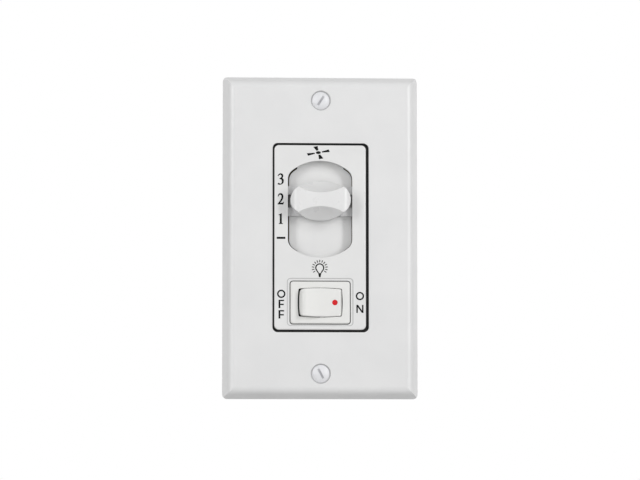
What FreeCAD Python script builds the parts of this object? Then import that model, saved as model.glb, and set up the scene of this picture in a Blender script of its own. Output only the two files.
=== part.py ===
import FreeCAD, Part
import Sketcher
import math
import os
import re
from FreeCAD import Placement, Rotation, Vector

# Fan speed control switch for a single wall box.
# Millimetres. X to the right, Y into the wall, Z up. The wall surface is Y = 0.

doc = FreeCAD.newDocument("fan_speed_control_switch")

SIZES = {
    # How far cuts run past a face, and how far joined features reach into each other
    "cut_past": 1.0,
    "sink": 0.3,
    # Wall plate
    "plate_width": 69.3,
    "plate_height": 114.5,
    "plate_depth": 5.6,
    "plate_corner": 1.8,
    "plate_slope": 22,
    "plate_round": 3.0,
    "plate_wall": 2.0,
    "plate_rim": 3.1,
    "opening_width": 34.0,
    "opening_height": 66.8,
    "opening_corner": 1.7,
    "plate_boss": 6.2,
    "plate_boss_gap": 0.3,
    # Plate screws
    "plate_screw_spacing": 96.84,
    "plate_hole": 4.2,
    "countersink": 7.2,
    "countersink_angle": 82,
    "oval_head": 6.2,
    "oval_dome": 0.9,
    "oval_slot": 0.8,
    "oval_slot_depth": 0.6,
    "oval_seat_gap": 0.02,
    "plate_screw_shank": 3.4,
    "plate_screw_length": 13.0,
    "screw_point": 0.5,
    "driver_slot": 1.0,
    "driver_slot_depth": 1.1,
    "upper_slot_turn": 57,
    "lower_slot_turn": 118,
    # Mounting strap
    "strap_thickness": 1.2,
    "strap_width": 45.0,
    "strap_core_height": 73.0,
    "strap_arm": 21.0,
    "strap_length": 105.0,
    "ear_width": 36.0,
    "ear_height": 6.4,
    "strap_corner": 1.5,
    "window_gap": 0.5,
    "box_screw_spacing": 83.34,
    "box_slot_width": 4.3,
    "box_slot_length": 7.0,
    # Box screws and their retainers
    "box_screw_shank": 3.5,
    "box_screw_neck": 2.9,
    "box_screw_length": 22.0,
    "pan_head": 6.4,
    "pan_head_height": 1.9,
    "pan_head_round": 0.8,
    "retainer": 9.0,
    "retainer_corner": 1.0,
    "retainer_thickness": 0.5,
    "retainer_gap": 0.05,
    "retainer_clear": 0.6,
    # Ground screw
    "ground_gap": 1.4,
    "ground_head": 6.2,
    "ground_head_height": 1.6,
    "ground_head_round": 0.5,
    "ground_slot_depth": 1.0,
    "ground_shank": 3.0,
    "ground_length": 8.0,
    # Front insert
    "core_shift": 0.28,
    "insert_width": 32.5,
    "insert_height": 65.5,
    "insert_drop": 0.3,
    "insert_corner": 1.7,
    "insert_proud": 1.0,
    "insert_round": 0.6,
    "insert_wall": 1.6,
    "flange_width": 41.0,
    "flange_height": 71.0,
    "flange_thickness": 1.4,
    "flange_corner": 1.5,
    "pilot_skin": 0.3,
    "skin": 1.7,
    # Slider slot, track and travel
    "slot_z": 9.65,
    "slot_width": 22.8,
    "slot_height": 34.5,
    "slot_end_rise": 4.8,
    "slot_corner": 4.0,
    "speed_pitch": 6.0,
    "slide_gap": 0.2,
    "channel_margin": 0.8,
    "channel_gap": 0.4,
    "track_thickness": 1.6,
    "track_seat_width": 27.4,
    "track_seat_margin": 4.2,
    "seat_corner": 1.0,
    "track_fit": 0.15,
    "track_gap": 0.35,
    "track_under": 1.1,
    "pad_shift": 0.25,
    "bridge_width": 16.4,
    "slit_end": 1.3,
    "stake": 1.8,
    "stake_head": 3.0,
    "stake_head_height": 0.45,
    "stake_x": 5.0,
    "stake_inset": 1.7,
    "detent_radius": 0.8,
    "detent_depth": 0.5,
    "detent_length": 6.0,
    # Slider knob
    "knob_width": 21.2,
    "knob_height": 13.9,
    "knob_end_radius": 5.0,
    "knob_rise": 7.6,
    "knob_waist": 4.6,
    "scoop_radius": 16.4,
    "scoop_curve": 16.0,
    "scoop_foot": 0.6,
    "scoop_past": 0.5,
    "scoop_margin": 0.3,
    "scoop_lean": 0.05,
    "knob_end_round": 3.5,
    "knob_end_lap": 0.4,
    "strip_height": 10.5,
    "strip_thickness": 1.4,
    "leg_gap": 0.2,
    "leg_height": 2.6,
    "notch_height": 4.6,
    "notch_under": 0.4,
    "hook_reach": 0.6,
    "hook_thickness": 0.8,
    # Contact carrier, wiper and detent spring
    "carrier_thickness": 2.4,
    "carrier_height": 9.6,
    "carrier_fit": 0.03,
    "carrier_corner": 0.8,
    "spring_leaf": 0.35,
    "spring_end_gap": 0.3,
    "spring_seat_gap": 0.02,
    "spring_pocket_depth": 1.3,
    "spring_pocket_length": 8.4,
    "spring_pocket_width": 4.4,
    "spring_pocket_corner": 0.4,
    "bump_clear": 0.12,
    "bump_run": 0.75,
    "bump_tip": 0.35,
    "bump_sag": 0.05,
    "bump_foot": 0.27,
    "leaf_bend": 0.15,
    "wiper_leaf": 0.4,
    "wiper_width": 4.0,
    "wiper_drop": 3.8,
    "wiper_gap": 0.08,
    "wiper_flat": 3.2,
    "wiper_foot": 0.7,
    "wiper_toe": 1.0,
    "contact_x": 6.0,
    "wiper_peg": 1.8,
    "wiper_peg_head": 0.5,
    # Speed board and its contacts
    "contact_thickness": 0.5,
    "contact_width": 3.6,
    "contact_length": 4.4,
    "contact_corner": 0.6,
    "board_width": 36.8,
    "board_height": 36.4,
    "board_thickness": 1.6,
    "board_corner": 1.0,
    "board_end_gap": 0.2,
    "board_boss": 4.4,
    "board_boss_side": 2.3,
    "board_boss_inset": 3.0,
    "board_pilot": 2.1,
    "board_screw_hole": 2.5,
    "board_screw_head": 4.0,
    "board_screw_head_height": 1.4,
    "board_screw_head_round": 0.5,
    "board_screw_length": 6.0,
    # Capacitors and resistors
    "large_cap_width": 33.0,
    "large_cap_height": 14.0,
    "large_cap_depth": 21.0,
    "large_cap_z": 5.5,
    "small_cap_width": 26.0,
    "small_cap_height": 10.5,
    "small_cap_depth": 17.0,
    "small_cap_z": -10.6,
    "cap_stand": 0.5,
    "cap_round": 1.2,
    "cap_lead": 0.8,
    "cap_lead_inset": 4.0,
    "resistor_body": 2.4,
    "resistor_length": 6.4,
    "resistor_shoulder": 0.4,
    "resistor_lead": 0.7,
    "resistor_span": 9.6,
    "resistor_bend": 0.1,
    "resistor_stand": 2.2,
    "resistor_low_z": -3.4,
    "resistor_high_z": 15.8,
    # Rear housing and its screws
    "housing_width": 43.0,
    "housing_height": 69.6,
    "housing_depth": 34.0,
    "housing_wall": 1.8,
    "housing_corner": 2.4,
    "housing_inner_corner": 1.0,
    "housing_back_round": 1.2,
    "post_gap": 0.4,
    "post": 7.2,
    "post_front": 3.0,
    "screw_seat": 5.0,
    "counterbore": 5.8,
    "housing_hole": 3.2,
    "housing_boss": 4.6,
    "housing_pilot": 2.5,
    "housing_screw_head": 5.0,
    "housing_screw_head_height": 1.8,
    "housing_screw_head_round": 0.6,
    "housing_screw_length": 9.6,
    "thread_fit": 0.03,
    "lead_slot_width": 16.0,
    "lead_slot_height": 3.6,
    "lead_slot_z": -20.0,
    # Light switch frame
    "switch_z": -23.4,
    "recess_width": 23.2,
    "recess_height": 16.7,
    "recess_step": 0.2,
    "recess_depth": 1.5,
    "recess_corner": 1.2,
    "recess_z": -23.2,
    "bezel_width": 21.0,
    "bezel_height": 14.9,
    "bezel_thickness": 1.9,
    "bezel_corner": 0.9,
    "bezel_gap": 0.3,
    "bezel_round": 0.5,
    "cutout_width": 19.2,
    "cutout_height": 13.0,
    "cutout_corner": 0.5,
    "cutout_gap": 0.2,
    "panel": 1.6,
    "case_corner": 0.3,
    "switch_depth": 13.6,
    "switch_wall": 1.0,
    "switch_floor": 1.6,
    "wing_length": 2.6,
    "wing_reach": 0.8,
    "wing_height": 6.0,
    "wing_gap": 0.05,
    "wing_lean": 0.1,
    # Rocker button
    "rocker_opening": 15.9,
    "rocker_opening_height": 10.5,
    "opening_bow": 0.35,
    "rocker_gap": 0.3,
    "rocker_side_gap": 0.2,
    "rocker_pivot_depth": 2.0,
    "rocker_tilt": 11,
    "rocker_rise": 3.6,
    "rocker_lean": 0.4,
    "rocker_shoulder": 1.4,
    "rocker_dish": 0.6,
    "rocker_skirt": 0.6,
    "rocker_corner": 1.1,
    "mouth_corner": 0.5,
    "rocker_edge": 0.35,
    "rocker_hub": 5.0,
    "hub_reach": 3.2,
    "plunger_bore": 3.0,
    "plunger_bore_depth": 4.6,
    "pivot_pin": 2.4,
    "pivot_reach": 0.9,
    "pivot_fit": 0.05,
    "dot_size": 2.0,
    "dot_x": 4.65,
    "dot_depth": 0.15,
    # Plunger, spring, lever and terminals
    "plunger_reach": 6.2,
    "plunger_tip": 2.0,
    "plunger_stem": 1.1,
    "plunger_head_length": 2.2,
    "plunger_stem_length": 1.4,
    "plunger_sink": 0.2,
    "plunger_fit": 0.15,
    "coil_wire": 0.35,
    "coil_turns": 4,
    "coil_seat_gap": 0.01,
    "lever_gap": 0.06,
    "lever_leaf": 0.5,
    "lever_tilt": 8,
    "lever_half": 6.6,
    "lever_width": 4.6,
    "lever_fit": 0.05,
    "tip_size": 2.6,
    "tip_height": 0.6,
    "tip_x": 5.4,
    "tip_gap": 0.1,
    "stop_in": 1.0,
    "stop_out": 0.8,
    "terminal_width": 4.7,
    "terminal_thickness": 0.8,
    "terminal_reach": 6.5,
    "terminal_fit": 0.03,
    "terminal_flange": 0.8,
}

sheet = doc.addObject("Spreadsheet::Sheet", "Sizes")
for row, (alias, number) in enumerate(SIZES.items(), start=1):
    sheet.set(f"A{row}", alias)
    sheet.set(f"B{row}", str(number))
    sheet.setAlias(f"B{row}", alias)
doc.recompute()


def ref(text):
    """Point every size name in an expression at the sheet."""
    def link(match):
        word = match.group()
        return "Sizes." + word if word in SIZES else word
    return re.sub(r"[a-z_]+", link, text)


def value(text):
    """Return the number that an expression has now."""
    return float(sheet.evalExpression(ref(text)))


def new_body(name, x="0", y="0", z="0"):
    """Start a body whose place follows the sheet."""
    body = doc.addObject("PartDesign::Body", name)
    body.Label = name
    for letter, text in zip("xyz", (x, y, z)):
        body.setExpression("Placement.Base." + letter, ref(text))
    return body


def turn(body, axis, text):
    """Turn a body about an axis through its own origin."""
    body.Placement = Placement(body.Placement.Base, Rotation(axis, 1))
    body.setExpression("Placement.Rotation.Angle", ref(text))


def new_sketch(body, name, plane, level):
    """Add a sketch on an origin plane, moved to a level along the plane's axis."""
    sketch = body.newObject("Sketcher::SketchObject", name)
    sketch.AttachmentSupport = ([f for f in body.Origin.OriginFeatures if f.Role == plane][0], [""])
    sketch.MapMode = "FlatFace"
    sign = "-" if plane == "XZ_Plane" else ""
    sketch.setExpression("AttachmentOffset.Base.z", ref(f"{sign}({level})"))
    return sketch


def fix(sketch, kind, *where):
    """Constrain a sketch by an expression."""
    *spot, text = where
    number = sketch.addConstraint(Sketcher.Constraint(kind, *spot, value(text)))
    sketch.setExpression(f"Constraints[{number}]", ref(text))


def draw_circle(sketch, x, y, radius):
    """Draw a full circle."""
    circle = Part.Circle(Vector(value(x), value(y), 0), Vector(0, 0, 1), value(radius))
    index = sketch.addGeometry(circle)
    fix(sketch, "DistanceX", -1, 1, index, 3, x)
    fix(sketch, "DistanceY", -1, 1, index, 3, y)
    fix(sketch, "Radius", index, radius)


def draw_loop(sketch, corners):
    """Draw a closed outline; a corner with a radius starts an arc, + for counter-clockwise."""
    spots = [Vector(value(c[0]), value(c[1]), 0) for c in corners]
    ends = []
    for number, corner in enumerate(corners):
        start = spots[number]
        stop = spots[(number + 1) % len(spots)]
        if len(corner) == 2:
            index = sketch.addGeometry(Part.LineSegment(start, stop))
            ends.append((index, 1, 2))
            continue
        side, text = corner[2], corner[3]
        radius = value(text)
        chord = stop - start
        lift = math.sqrt(max(radius ** 2 - (chord.Length / 2) ** 2, 0))
        left = Vector(-chord.y, chord.x, 0).normalize()
        centre = (start + stop) * 0.5 + left * (lift * side)
        first, last = (start, stop) if side > 0 else (stop, start)
        low = math.atan2(first.y - centre.y, first.x - centre.x)
        high = math.atan2(last.y - centre.y, last.x - centre.x)
        circle = Part.Circle(centre, Vector(0, 0, 1), radius)
        index = sketch.addGeometry(Part.ArcOfCircle(circle, low, high))
        ends.append((index, 1, 2) if side > 0 else (index, 2, 1))
    for number, (index, start, stop) in enumerate(ends):
        following = ends[(number + 1) % len(ends)]
        sketch.addConstraint(Sketcher.Constraint("Coincident", index, stop, following[0], following[1]))
    for corner, (index, start, stop) in zip(corners, ends):
        fix(sketch, "DistanceX", -1, 1, index, start, corner[0])
        fix(sketch, "DistanceY", -1, 1, index, start, corner[1])
        if len(corner) > 2:
            fix(sketch, "Radius", index, corner[3])


def draw(body, name, plane, level, shapes):
    """Draw several outlines in one sketch."""
    sketch = new_sketch(body, name + "_sketch", plane, level)
    for shape in shapes:
        if shape[0] == "circle":
            draw_circle(sketch, *shape[1:])
        else:
            draw_loop(sketch, shape)
    doc.recompute()
    return sketch


def add(body, name, plane, level, length, *shapes):
    """Pad outlines from a level along the plane's normal."""
    pad = body.newObject("PartDesign::Pad", name)
    pad.Profile = draw(body, name, plane, level, shapes)
    pad.setExpression("Length", ref(length))
    doc.recompute()
    return pad


def cut(body, name, plane, level, length, *shapes):
    """Pocket outlines from a level along the plane's normal."""
    pocket = body.newObject("PartDesign::Pocket", name)
    pocket.Profile = draw(body, name, plane, level, shapes)
    pocket.Reversed = True
    pocket.setExpression("Length", ref(length))
    doc.recompute()
    return pocket


def spin(body, name, kind, plane, shape, axis="V_Axis"):
    """Revolve an outline about an axis of its own sketch."""
    sketch = draw(body, name, plane, "0", [shape])
    feature = body.newObject("PartDesign::" + kind, name)
    feature.Profile = sketch
    feature.ReferenceAxis = (sketch, [axis])
    feature.Angle = 360
    doc.recompute()
    return feature


def soften(body, name, kind, size, choose):
    """Round or chamfer the edges that a test chooses."""
    base = body.Tip
    edges = [f"Edge{n}" for n, edge in enumerate(base.Shape.Edges, start=1) if choose(edge)]
    feature = body.newObject("PartDesign::" + kind, name)
    feature.Base = (base, edges)
    feature.setExpression("Radius" if kind == "Fillet" else "Size", ref(size))
    doc.recompute()
    return feature


def level_edges(axis, text):
    """Choose edges that lie wholly at one level of an axis."""
    level = value(text)

    def choose(edge):
        box = edge.BoundBox
        low = getattr(box, axis + "Min")
        high = getattr(box, axis + "Max")
        return abs(low - level) < 0.001 and abs(high - level) < 0.001
    return choose


def box(x_low, x_high, y_low, y_high):
    """Corners of a rectangle."""
    return [(x_low, y_low), (x_high, y_low), (x_high, y_high), (x_low, y_high)]


def round_box(x_low, x_high, y_low, y_high, radius):
    """Corners of a rectangle with round corners."""
    r = radius
    return [
        (f"{x_low}+({r})", y_low),
        (f"{x_high}-({r})", y_low, 1, r),
        (x_high, f"{y_low}+({r})"),
        (x_high, f"{y_high}-({r})", 1, r),
        (f"{x_high}-({r})", y_high),
        (f"{x_low}+({r})", y_high, 1, r),
        (x_low, f"{y_high}-({r})"),
        (x_low, f"{y_low}+({r})", 1, r),
    ]


def middle_box(width, height, radius=None, x="0", z="0"):
    """Corners of a rectangle about a centre."""
    sides = [f"{x}-({width})/2", f"{x}+({width})/2", f"{z}-({height})/2", f"{z}+({height})/2"]
    return round_box(*sides, radius) if radius else box(*sides)


def pill(width, height, x="0", z="0"):
    """Corners of a lying slot with half-round ends."""
    reach = f"(({width})-({height}))/2"
    r = f"({height})/2"
    return [
        (f"{x}-{reach}", f"{z}-{r}"),
        (f"{x}+{reach}", f"{z}-{r}", 1, r),
        (f"{x}+({width})/2", z, 1, r),
        (f"{x}+{reach}", f"{z}+{r}"),
        (f"{x}-{reach}", f"{z}+{r}", 1, r),
        (f"{x}-({width})/2", z, 1, r),
    ]


def group(name, members):
    """Gather like pieces under one name."""
    compound = doc.addObject("Part::Compound", name)
    compound.Label = name
    compound.Links = members
    doc.recompute()
    return compound


# Levels along Y, from the front of the knob to the back of the housing
FACE = "-(plate_depth+insert_proud)"
STRAP_FRONT = "-strap_thickness"
SKIN_BACK = f"({FACE}+skin)"
STRIP_FRONT = f"({SKIN_BACK}+slide_gap)"
STRIP_BACK = f"({STRIP_FRONT}+strip_thickness)"
FLOOR = f"({STRIP_BACK}+slide_gap)"
TRACK_BACK = f"({FLOOR}+track_thickness)"
CARRIER_FRONT = f"({TRACK_BACK}+slide_gap)"
CARRIER_BACK = f"({CARRIER_FRONT}+carrier_thickness)"
WIPER_TIP = f"({CARRIER_BACK}+wiper_leaf+wiper_drop)"
CONTACT_FRONT = f"({WIPER_TIP}+wiper_gap)"
BOARD_FRONT = f"({CONTACT_FRONT}+contact_thickness)"
BOARD_BACK = f"({BOARD_FRONT}+board_thickness)"
RECESS_FLOOR = f"({FACE}+recess_depth)"
BEZEL_FRONT = f"({RECESS_FLOOR}-bezel_thickness)"
PIVOT = f"({BEZEL_FRONT}+rocker_pivot_depth)"
SWITCH_BACK = f"({RECESS_FLOOR}+switch_depth)"
CORE_X = "-core_shift"
KNOB_Z = "(slot_z+speed_pitch/2)"

# Places across the wall: housing posts, board under the upper posts, ground screw below the flange
POST_X = "(housing_width/2-housing_wall-post/2)"
POST_Z = "(housing_height/2-housing_wall-post/2-post_gap)"
BOARD_Z = f"({POST_Z}-post/2-board_end_gap-board_height/2)"
GROUND_X = "((strap_arm-ground_head)/2)"
GROUND_Z = "(flange_height/2+ground_gap+ground_head/2)"


def make_wall_plate():
    """Moulded cover: sloped sides, round shoulder, hollow back, opening and two screw holes."""
    body = new_body("wall_plate")
    add(body, "blank", "XZ_Plane", "0", "plate_depth",
        middle_box("plate_width", "plate_height", "plate_corner"))
    turn_in = "plate_round*cos(plate_slope)"
    drop = "plate_round*(1-sin(plate_slope))"
    lean = f"(plate_depth-{drop})*tan(plate_slope)"
    shoulder = f"-(plate_depth-{drop})"
    for name, plane, size, length in (
        ("side_bevels", "XY_Plane", "plate_width", "plate_height"),
        ("end_bevels", "YZ_Plane", "plate_height", "plate_width"),
    ):
        loops = []
        for sign in (1, -1):
            half = f"{sign}*({size})/2"
            run = [
                (half, "0"),
                (f"{half}-{sign}*{lean}", shoulder, -sign, "plate_round"),
                (f"{half}-{sign}*({lean}+{turn_in})", "-plate_depth"),
                (f"{half}-{sign}*({lean}+{turn_in})", "-plate_depth-cut_past"),
                (f"{half}+{sign}*cut_past", "-plate_depth-cut_past"),
                (f"{half}+{sign}*cut_past", "0"),
            ]
            if plane == "YZ_Plane":
                run = [(c[1], c[0]) + ((-c[2], c[3]) if len(c) > 2 else ()) for c in run]
            loops.append(run)
        cut(body, name, plane, f"-({length})/2-cut_past", f"{length}+2*cut_past", *loops)
    cut(body, "hollow", "XZ_Plane", "0", "plate_depth-plate_wall",
        middle_box("plate_width-2*plate_rim", "plate_height-2*plate_rim", "plate_corner"))
    holes = [("circle", "0", f"{sign}*plate_screw_spacing/2", "plate_boss/2") for sign in (1, -1)]
    add(body, "bosses", "XZ_Plane", "-strap_thickness-plate_boss_gap",
        "plate_depth-plate_wall-strap_thickness-plate_boss_gap", *holes)
    cut(body, "opening", "XZ_Plane", "cut_past", "plate_depth+2*cut_past",
        middle_box("opening_width", "opening_height", "opening_corner", "0", "-insert_drop"))
    spots = [("circle", "0", f"{sign}*plate_screw_spacing/2", "plate_hole/2") for sign in (1, -1)]
    sketch = draw(body, "holes", "XZ_Plane", "-plate_depth", spots)
    hole = body.newObject("PartDesign::Hole", "screw_holes")
    hole.Profile = sketch
    doc.recompute()
    hole.DepthType = "ThroughAll"
    hole.setExpression("Diameter", ref("plate_hole"))
    hole.HoleCutType = "Countersink"
    hole.HoleCutCustomValues = True
    hole.setExpression("HoleCutDiameter", ref("countersink"))
    hole.setExpression("HoleCutCountersinkAngle", ref("countersink_angle"))
    doc.recompute()
    return body


def make_plate_screw(name, sign, slot_turn):
    """Slotted oval-head screw, its head seated in the plate's countersink."""
    head_y = "-plate_depth+(countersink-oval_head)/2/tan(countersink_angle/2)-oval_seat_gap"
    cone = "(oval_head-plate_screw_shank)/2/tan(countersink_angle/2)"
    dome = "((oval_head/2)^2+oval_dome^2)/(2*oval_dome)"
    body = new_body(name, "0", head_y, f"{sign}*plate_screw_spacing/2")
    turn(body, Vector(0, -1, 0), slot_turn)
    spin(body, "turned", "Revolution", "XY_Plane", [
        ("0", "-oval_dome", 1, dome),
        ("oval_head/2", "0"),
        ("plate_screw_shank/2", cone),
        ("plate_screw_shank/2", "plate_screw_length-screw_point"),
        ("plate_screw_shank/2-screw_point", "plate_screw_length"),
        ("0", "plate_screw_length"),
    ])
    cut(body, "driver_slot", "XZ_Plane", "oval_slot_depth-oval_dome", "oval_slot_depth+cut_past",
        middle_box("oval_head+2*cut_past", "oval_slot"))
    return body


def make_mounting_strap():
    """Stamped steel yoke that carries the device in the wall box."""
    body = new_body("mounting_strap")
    core = "strap_width/2"
    core_z = "strap_core_height/2"
    arm = "strap_arm/2"
    ear = "ear_width/2"
    end = "strap_length/2"
    ear_z = f"({end}-ear_height)"
    right = [(core, core_z), (arm, core_z), (arm, ear_z), (ear, ear_z), (ear, end)]
    upper = right + [("-" + x, z) for x, z in reversed(right)]
    outline = upper + [(x, f"-({z})") for x, z in reversed(upper)]
    add(body, "blank", "XZ_Plane", "0", "strap_thickness", outline[::-1])
    window_x = f"2*({POST_X}+housing_boss/2+window_gap)"
    window_z = f"2*({POST_Z}+housing_boss/2+window_gap)"
    cut(body, "window", "XZ_Plane", "cut_past", "strap_thickness+2*cut_past",
        middle_box(window_x, window_z, "strap_corner"))
    loops = [("circle", GROUND_X, f"-{GROUND_Z}", "ground_shank/2+thread_fit")]
    for sign in (1, -1):
        loops.append(("circle", "0", f"{sign}*plate_screw_spacing/2", "plate_screw_shank/2+thread_fit"))
        loops.append(pill("box_slot_length", "box_slot_width", "0", f"{sign}*box_screw_spacing/2"))
    cut(body, "holes", "XZ_Plane", "cut_past", "strap_thickness+2*cut_past", *loops)
    corners = {(round(value(x), 3), round(value(z), 3)) for x, z in outline}
    soften(body, "corners", "Fillet", "strap_corner", lambda e: e.BoundBox.YLength > 0.5 and (
        round(e.CenterOfMass.x, 3), round(e.CenterOfMass.z, 3)) in corners)
    return body


def make_box_screw(name, sign):
    """Captive screw that fixes the strap to the wall box."""
    body = new_body(name, "0", STRAP_FRONT, f"{sign}*box_screw_spacing/2")
    free = "strap_thickness+retainer_thickness+2*retainer_gap"
    spin(body, "turned", "Revolution", "XY_Plane", [
        ("0", "-pan_head_height"),
        ("pan_head/2-pan_head_round", "-pan_head_height", 1, "pan_head_round"),
        ("pan_head/2", "-pan_head_height+pan_head_round"),
        ("pan_head/2", "0"),
        ("box_screw_neck/2", "0"),
        ("box_screw_neck/2", free),
        ("box_screw_shank/2", free),
        ("box_screw_shank/2", "box_screw_length-screw_point"),
        ("box_screw_shank/2-screw_point", "box_screw_length"),
        ("0", "box_screw_length"),
    ])
    cut(body, "driver_slot", "XZ_Plane", "driver_slot_depth-pan_head_height",
        "driver_slot_depth+cut_past", middle_box("pan_head+2*cut_past", "driver_slot"))
    return body


def make_retainer(name, sign):
    """Fibre leaf that keeps a box screw in the strap and stops short of the housing."""
    body = new_body(name, "0", "retainer_gap+retainer_thickness", f"{sign}*box_screw_spacing/2")
    inner = f"-{sign}*((box_screw_spacing-housing_height)/2-retainer_clear)"
    outer = f"{sign}*retainer/2"
    low, high = (inner, outer) if sign > 0 else (outer, inner)
    add(body, "leaf", "XZ_Plane", "0", "retainer_thickness",
        round_box("-retainer/2", "retainer/2", low, high, "retainer_corner"),
        ("circle", "0", "0", "box_screw_neck/2+thread_fit"))
    return body


def make_ground_screw():
    """Ground screw beside the lower box screw, clear of the housing."""
    body = new_body("ground_screw", GROUND_X, STRAP_FRONT, f"-{GROUND_Z}")
    spin(body, "turned", "Revolution", "XY_Plane", [
        ("0", "-ground_head_height"),
        ("ground_head/2-ground_head_round", "-ground_head_height", 1, "ground_head_round"),
        ("ground_head/2", "-ground_head_height+ground_head_round"),
        ("ground_head/2", "0"),
        ("ground_shank/2", "0"),
        ("ground_shank/2", "ground_length"),
        ("0", "ground_length"),
    ])
    cut(body, "driver_slot", "XZ_Plane", "ground_slot_depth-ground_head_height",
        "ground_slot_depth+cut_past", middle_box("ground_head+2*cut_past", "driver_slot"))
    return body


# Slider slot: straight sides and arched ends
SLOT_X = "slot_width/2"
SLOT_R = "((slot_width/2)^2+slot_end_rise^2)/(2*slot_end_rise)"
SLOT_SIDE = "(slot_height/2-slot_end_rise)"
SLOT_ARC = f"(slot_height/2-{SLOT_R})"
PAD_X = f"({SLOT_X}-track_gap)"
PAD_R = f"({SLOT_R}-track_gap)"
PAD_SIDE = f"({SLOT_ARC}+sqrt({PAD_R}^2-{PAD_X}^2))"
PAD_TOP = f"({SLOT_ARC}+sqrt({PAD_R}^2-(bridge_width/2)^2))"
SLIT_X = f"({SLOT_X}+track_under)"
SEAT_LOW = "(slot_z-slot_height/2-track_seat_margin)"
SEAT_HIGH = "(slot_z+slot_height/2+track_seat_margin)"
BOSS_LOW = f"({BOARD_Z}-board_height/2+board_boss_inset)"
BOSS_HIGH = f"({BOARD_Z}+board_height/2-board_boss_inset)"
POSTS = [(f"{a}*{POST_X}", f"{b}*{POST_Z}") for a in (1, -1) for b in (1, -1)]
BOARD_BOSSES = [(f"{a}*(board_width/2-board_boss_side)", z) for a in (1, -1) for z in (BOSS_LOW, BOSS_HIGH)]
STAKES = [(f"{a}*stake_x", z) for a in (1, -1)
          for z in (f"({SEAT_LOW}+stake_inset)", f"({SEAT_HIGH}-stake_inset)")]


def corner_edges(half_x, half_z, shift="0"):
    """Edges along Y at the four corners of the slot or of the pad in it."""
    x = value(half_x)
    z = value(half_z)
    middle = Vector(value(shift), 0, value("slot_z"))

    def chosen(edge):
        place = edge.CenterOfMass - middle
        upright = edge.BoundBox.XLength < 0.001 and edge.BoundBox.ZLength < 0.001
        return upright and abs(abs(place.x) - x) < 0.001 and abs(abs(place.z) - z) < 0.001

    return chosen


def slot_outline():
    """Opening in the insert for the slider knob."""
    return [
        (SLOT_X, f"slot_z-{SLOT_SIDE}"),
        (SLOT_X, f"slot_z+{SLOT_SIDE}", 1, SLOT_R),
        (f"-{SLOT_X}", f"slot_z+{SLOT_SIDE}"),
        (f"-{SLOT_X}", f"slot_z-{SLOT_SIDE}", 1, SLOT_R),
    ]


def make_front_insert():
    """Face of the device: slider slot, switch recess, flange, track seat and screw bosses."""
    body = new_body("front_insert", CORE_X)
    add(body, "face_block", "XZ_Plane", STRAP_FRONT, "plate_depth+insert_proud-strap_thickness",
        middle_box("insert_width", "insert_height", "insert_corner", "0", "-insert_drop"))
    soften(body, "face_edge", "Fillet", "insert_round", level_edges("Y", FACE))
    add(body, "flange", "XZ_Plane", STRAP_FRONT, "flange_thickness",
        middle_box("flange_width", "flange_height", "flange_corner"))
    seat = ["-track_seat_width/2", "track_seat_width/2", SEAT_LOW, SEAT_HIGH]
    cut(body, "track_seat", "XZ_Plane", STRAP_FRONT, f"-strap_thickness-{FLOOR}",
        round_box(*seat, "seat_corner"))
    wide = f"({SLIT_X}+channel_gap)"
    tall = "(slot_height/2+channel_margin)"
    cut(body, "channel", "XZ_Plane", FLOOR, "2*slide_gap+strip_thickness",
        box(f"-{wide}", wide, f"slot_z-{tall}", f"slot_z+{tall}"))
    cut(body, "slot", "XZ_Plane", SKIN_BACK, "skin+cut_past", slot_outline())
    soften(body, "slot_corners", "Fillet", "slot_corner", corner_edges(SLOT_X, SLOT_SIDE))
    low = "(-insert_drop-insert_height/2+insert_wall)"
    high = f"({SEAT_LOW}-insert_wall)"
    cut(body, "switch_bay", "XZ_Plane", STRAP_FRONT, f"-strap_thickness-({RECESS_FLOOR}+panel)",
        round_box("-track_seat_width/2", "track_seat_width/2", low, high, "seat_corner"))
    cut(body, "recess_step", "XZ_Plane", f"{FACE}+recess_step", "recess_step+cut_past",
        middle_box("recess_width", "recess_height", "recess_corner", "0", "recess_z"))
    cut(body, "switch_recess", "XZ_Plane", RECESS_FLOOR, "recess_depth+cut_past",
        middle_box("bezel_width+2*bezel_gap", "bezel_height+2*bezel_gap", "bezel_corner+bezel_gap",
                   "0", "switch_z"))
    cut(body, "switch_cutout", "XZ_Plane", f"{RECESS_FLOOR}+panel+cut_past", "panel+2*cut_past",
        middle_box("cutout_width", "cutout_height", "cutout_corner", "0", "switch_z"))
    add(body, "housing_bosses", "XZ_Plane", "post_front", "post_front+strap_thickness+sink",
        *[("circle", x, z, "housing_boss/2") for x, z in POSTS])
    add(body, "board_bosses", "XZ_Plane", BOARD_FRONT, f"{BOARD_FRONT}+strap_thickness+sink",
        *[("circle", x, z, "board_boss/2") for x, z in BOARD_BOSSES])
    cut(body, "housing_pilots", "XZ_Plane", "post_front",
        "post_front+strap_thickness+flange_thickness-pilot_skin",
        *[("circle", x, z, "housing_pilot/2") for x, z in POSTS])
    cut(body, "board_pilots", "XZ_Plane", BOARD_FRONT, "board_screw_length",
        *[("circle", x, z, "board_pilot/2") for x, z in BOARD_BOSSES])
    add(body, "stakes", "XZ_Plane", TRACK_BACK, "track_thickness+sink",
        *[("circle", x, z, "stake/2") for x, z in STAKES])
    add(body, "stake_heads", "XZ_Plane", f"{TRACK_BACK}+stake_head_height", "stake_head_height",
        *[("circle", x, z, "stake_head/2") for x, z in STAKES])
    return body


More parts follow.
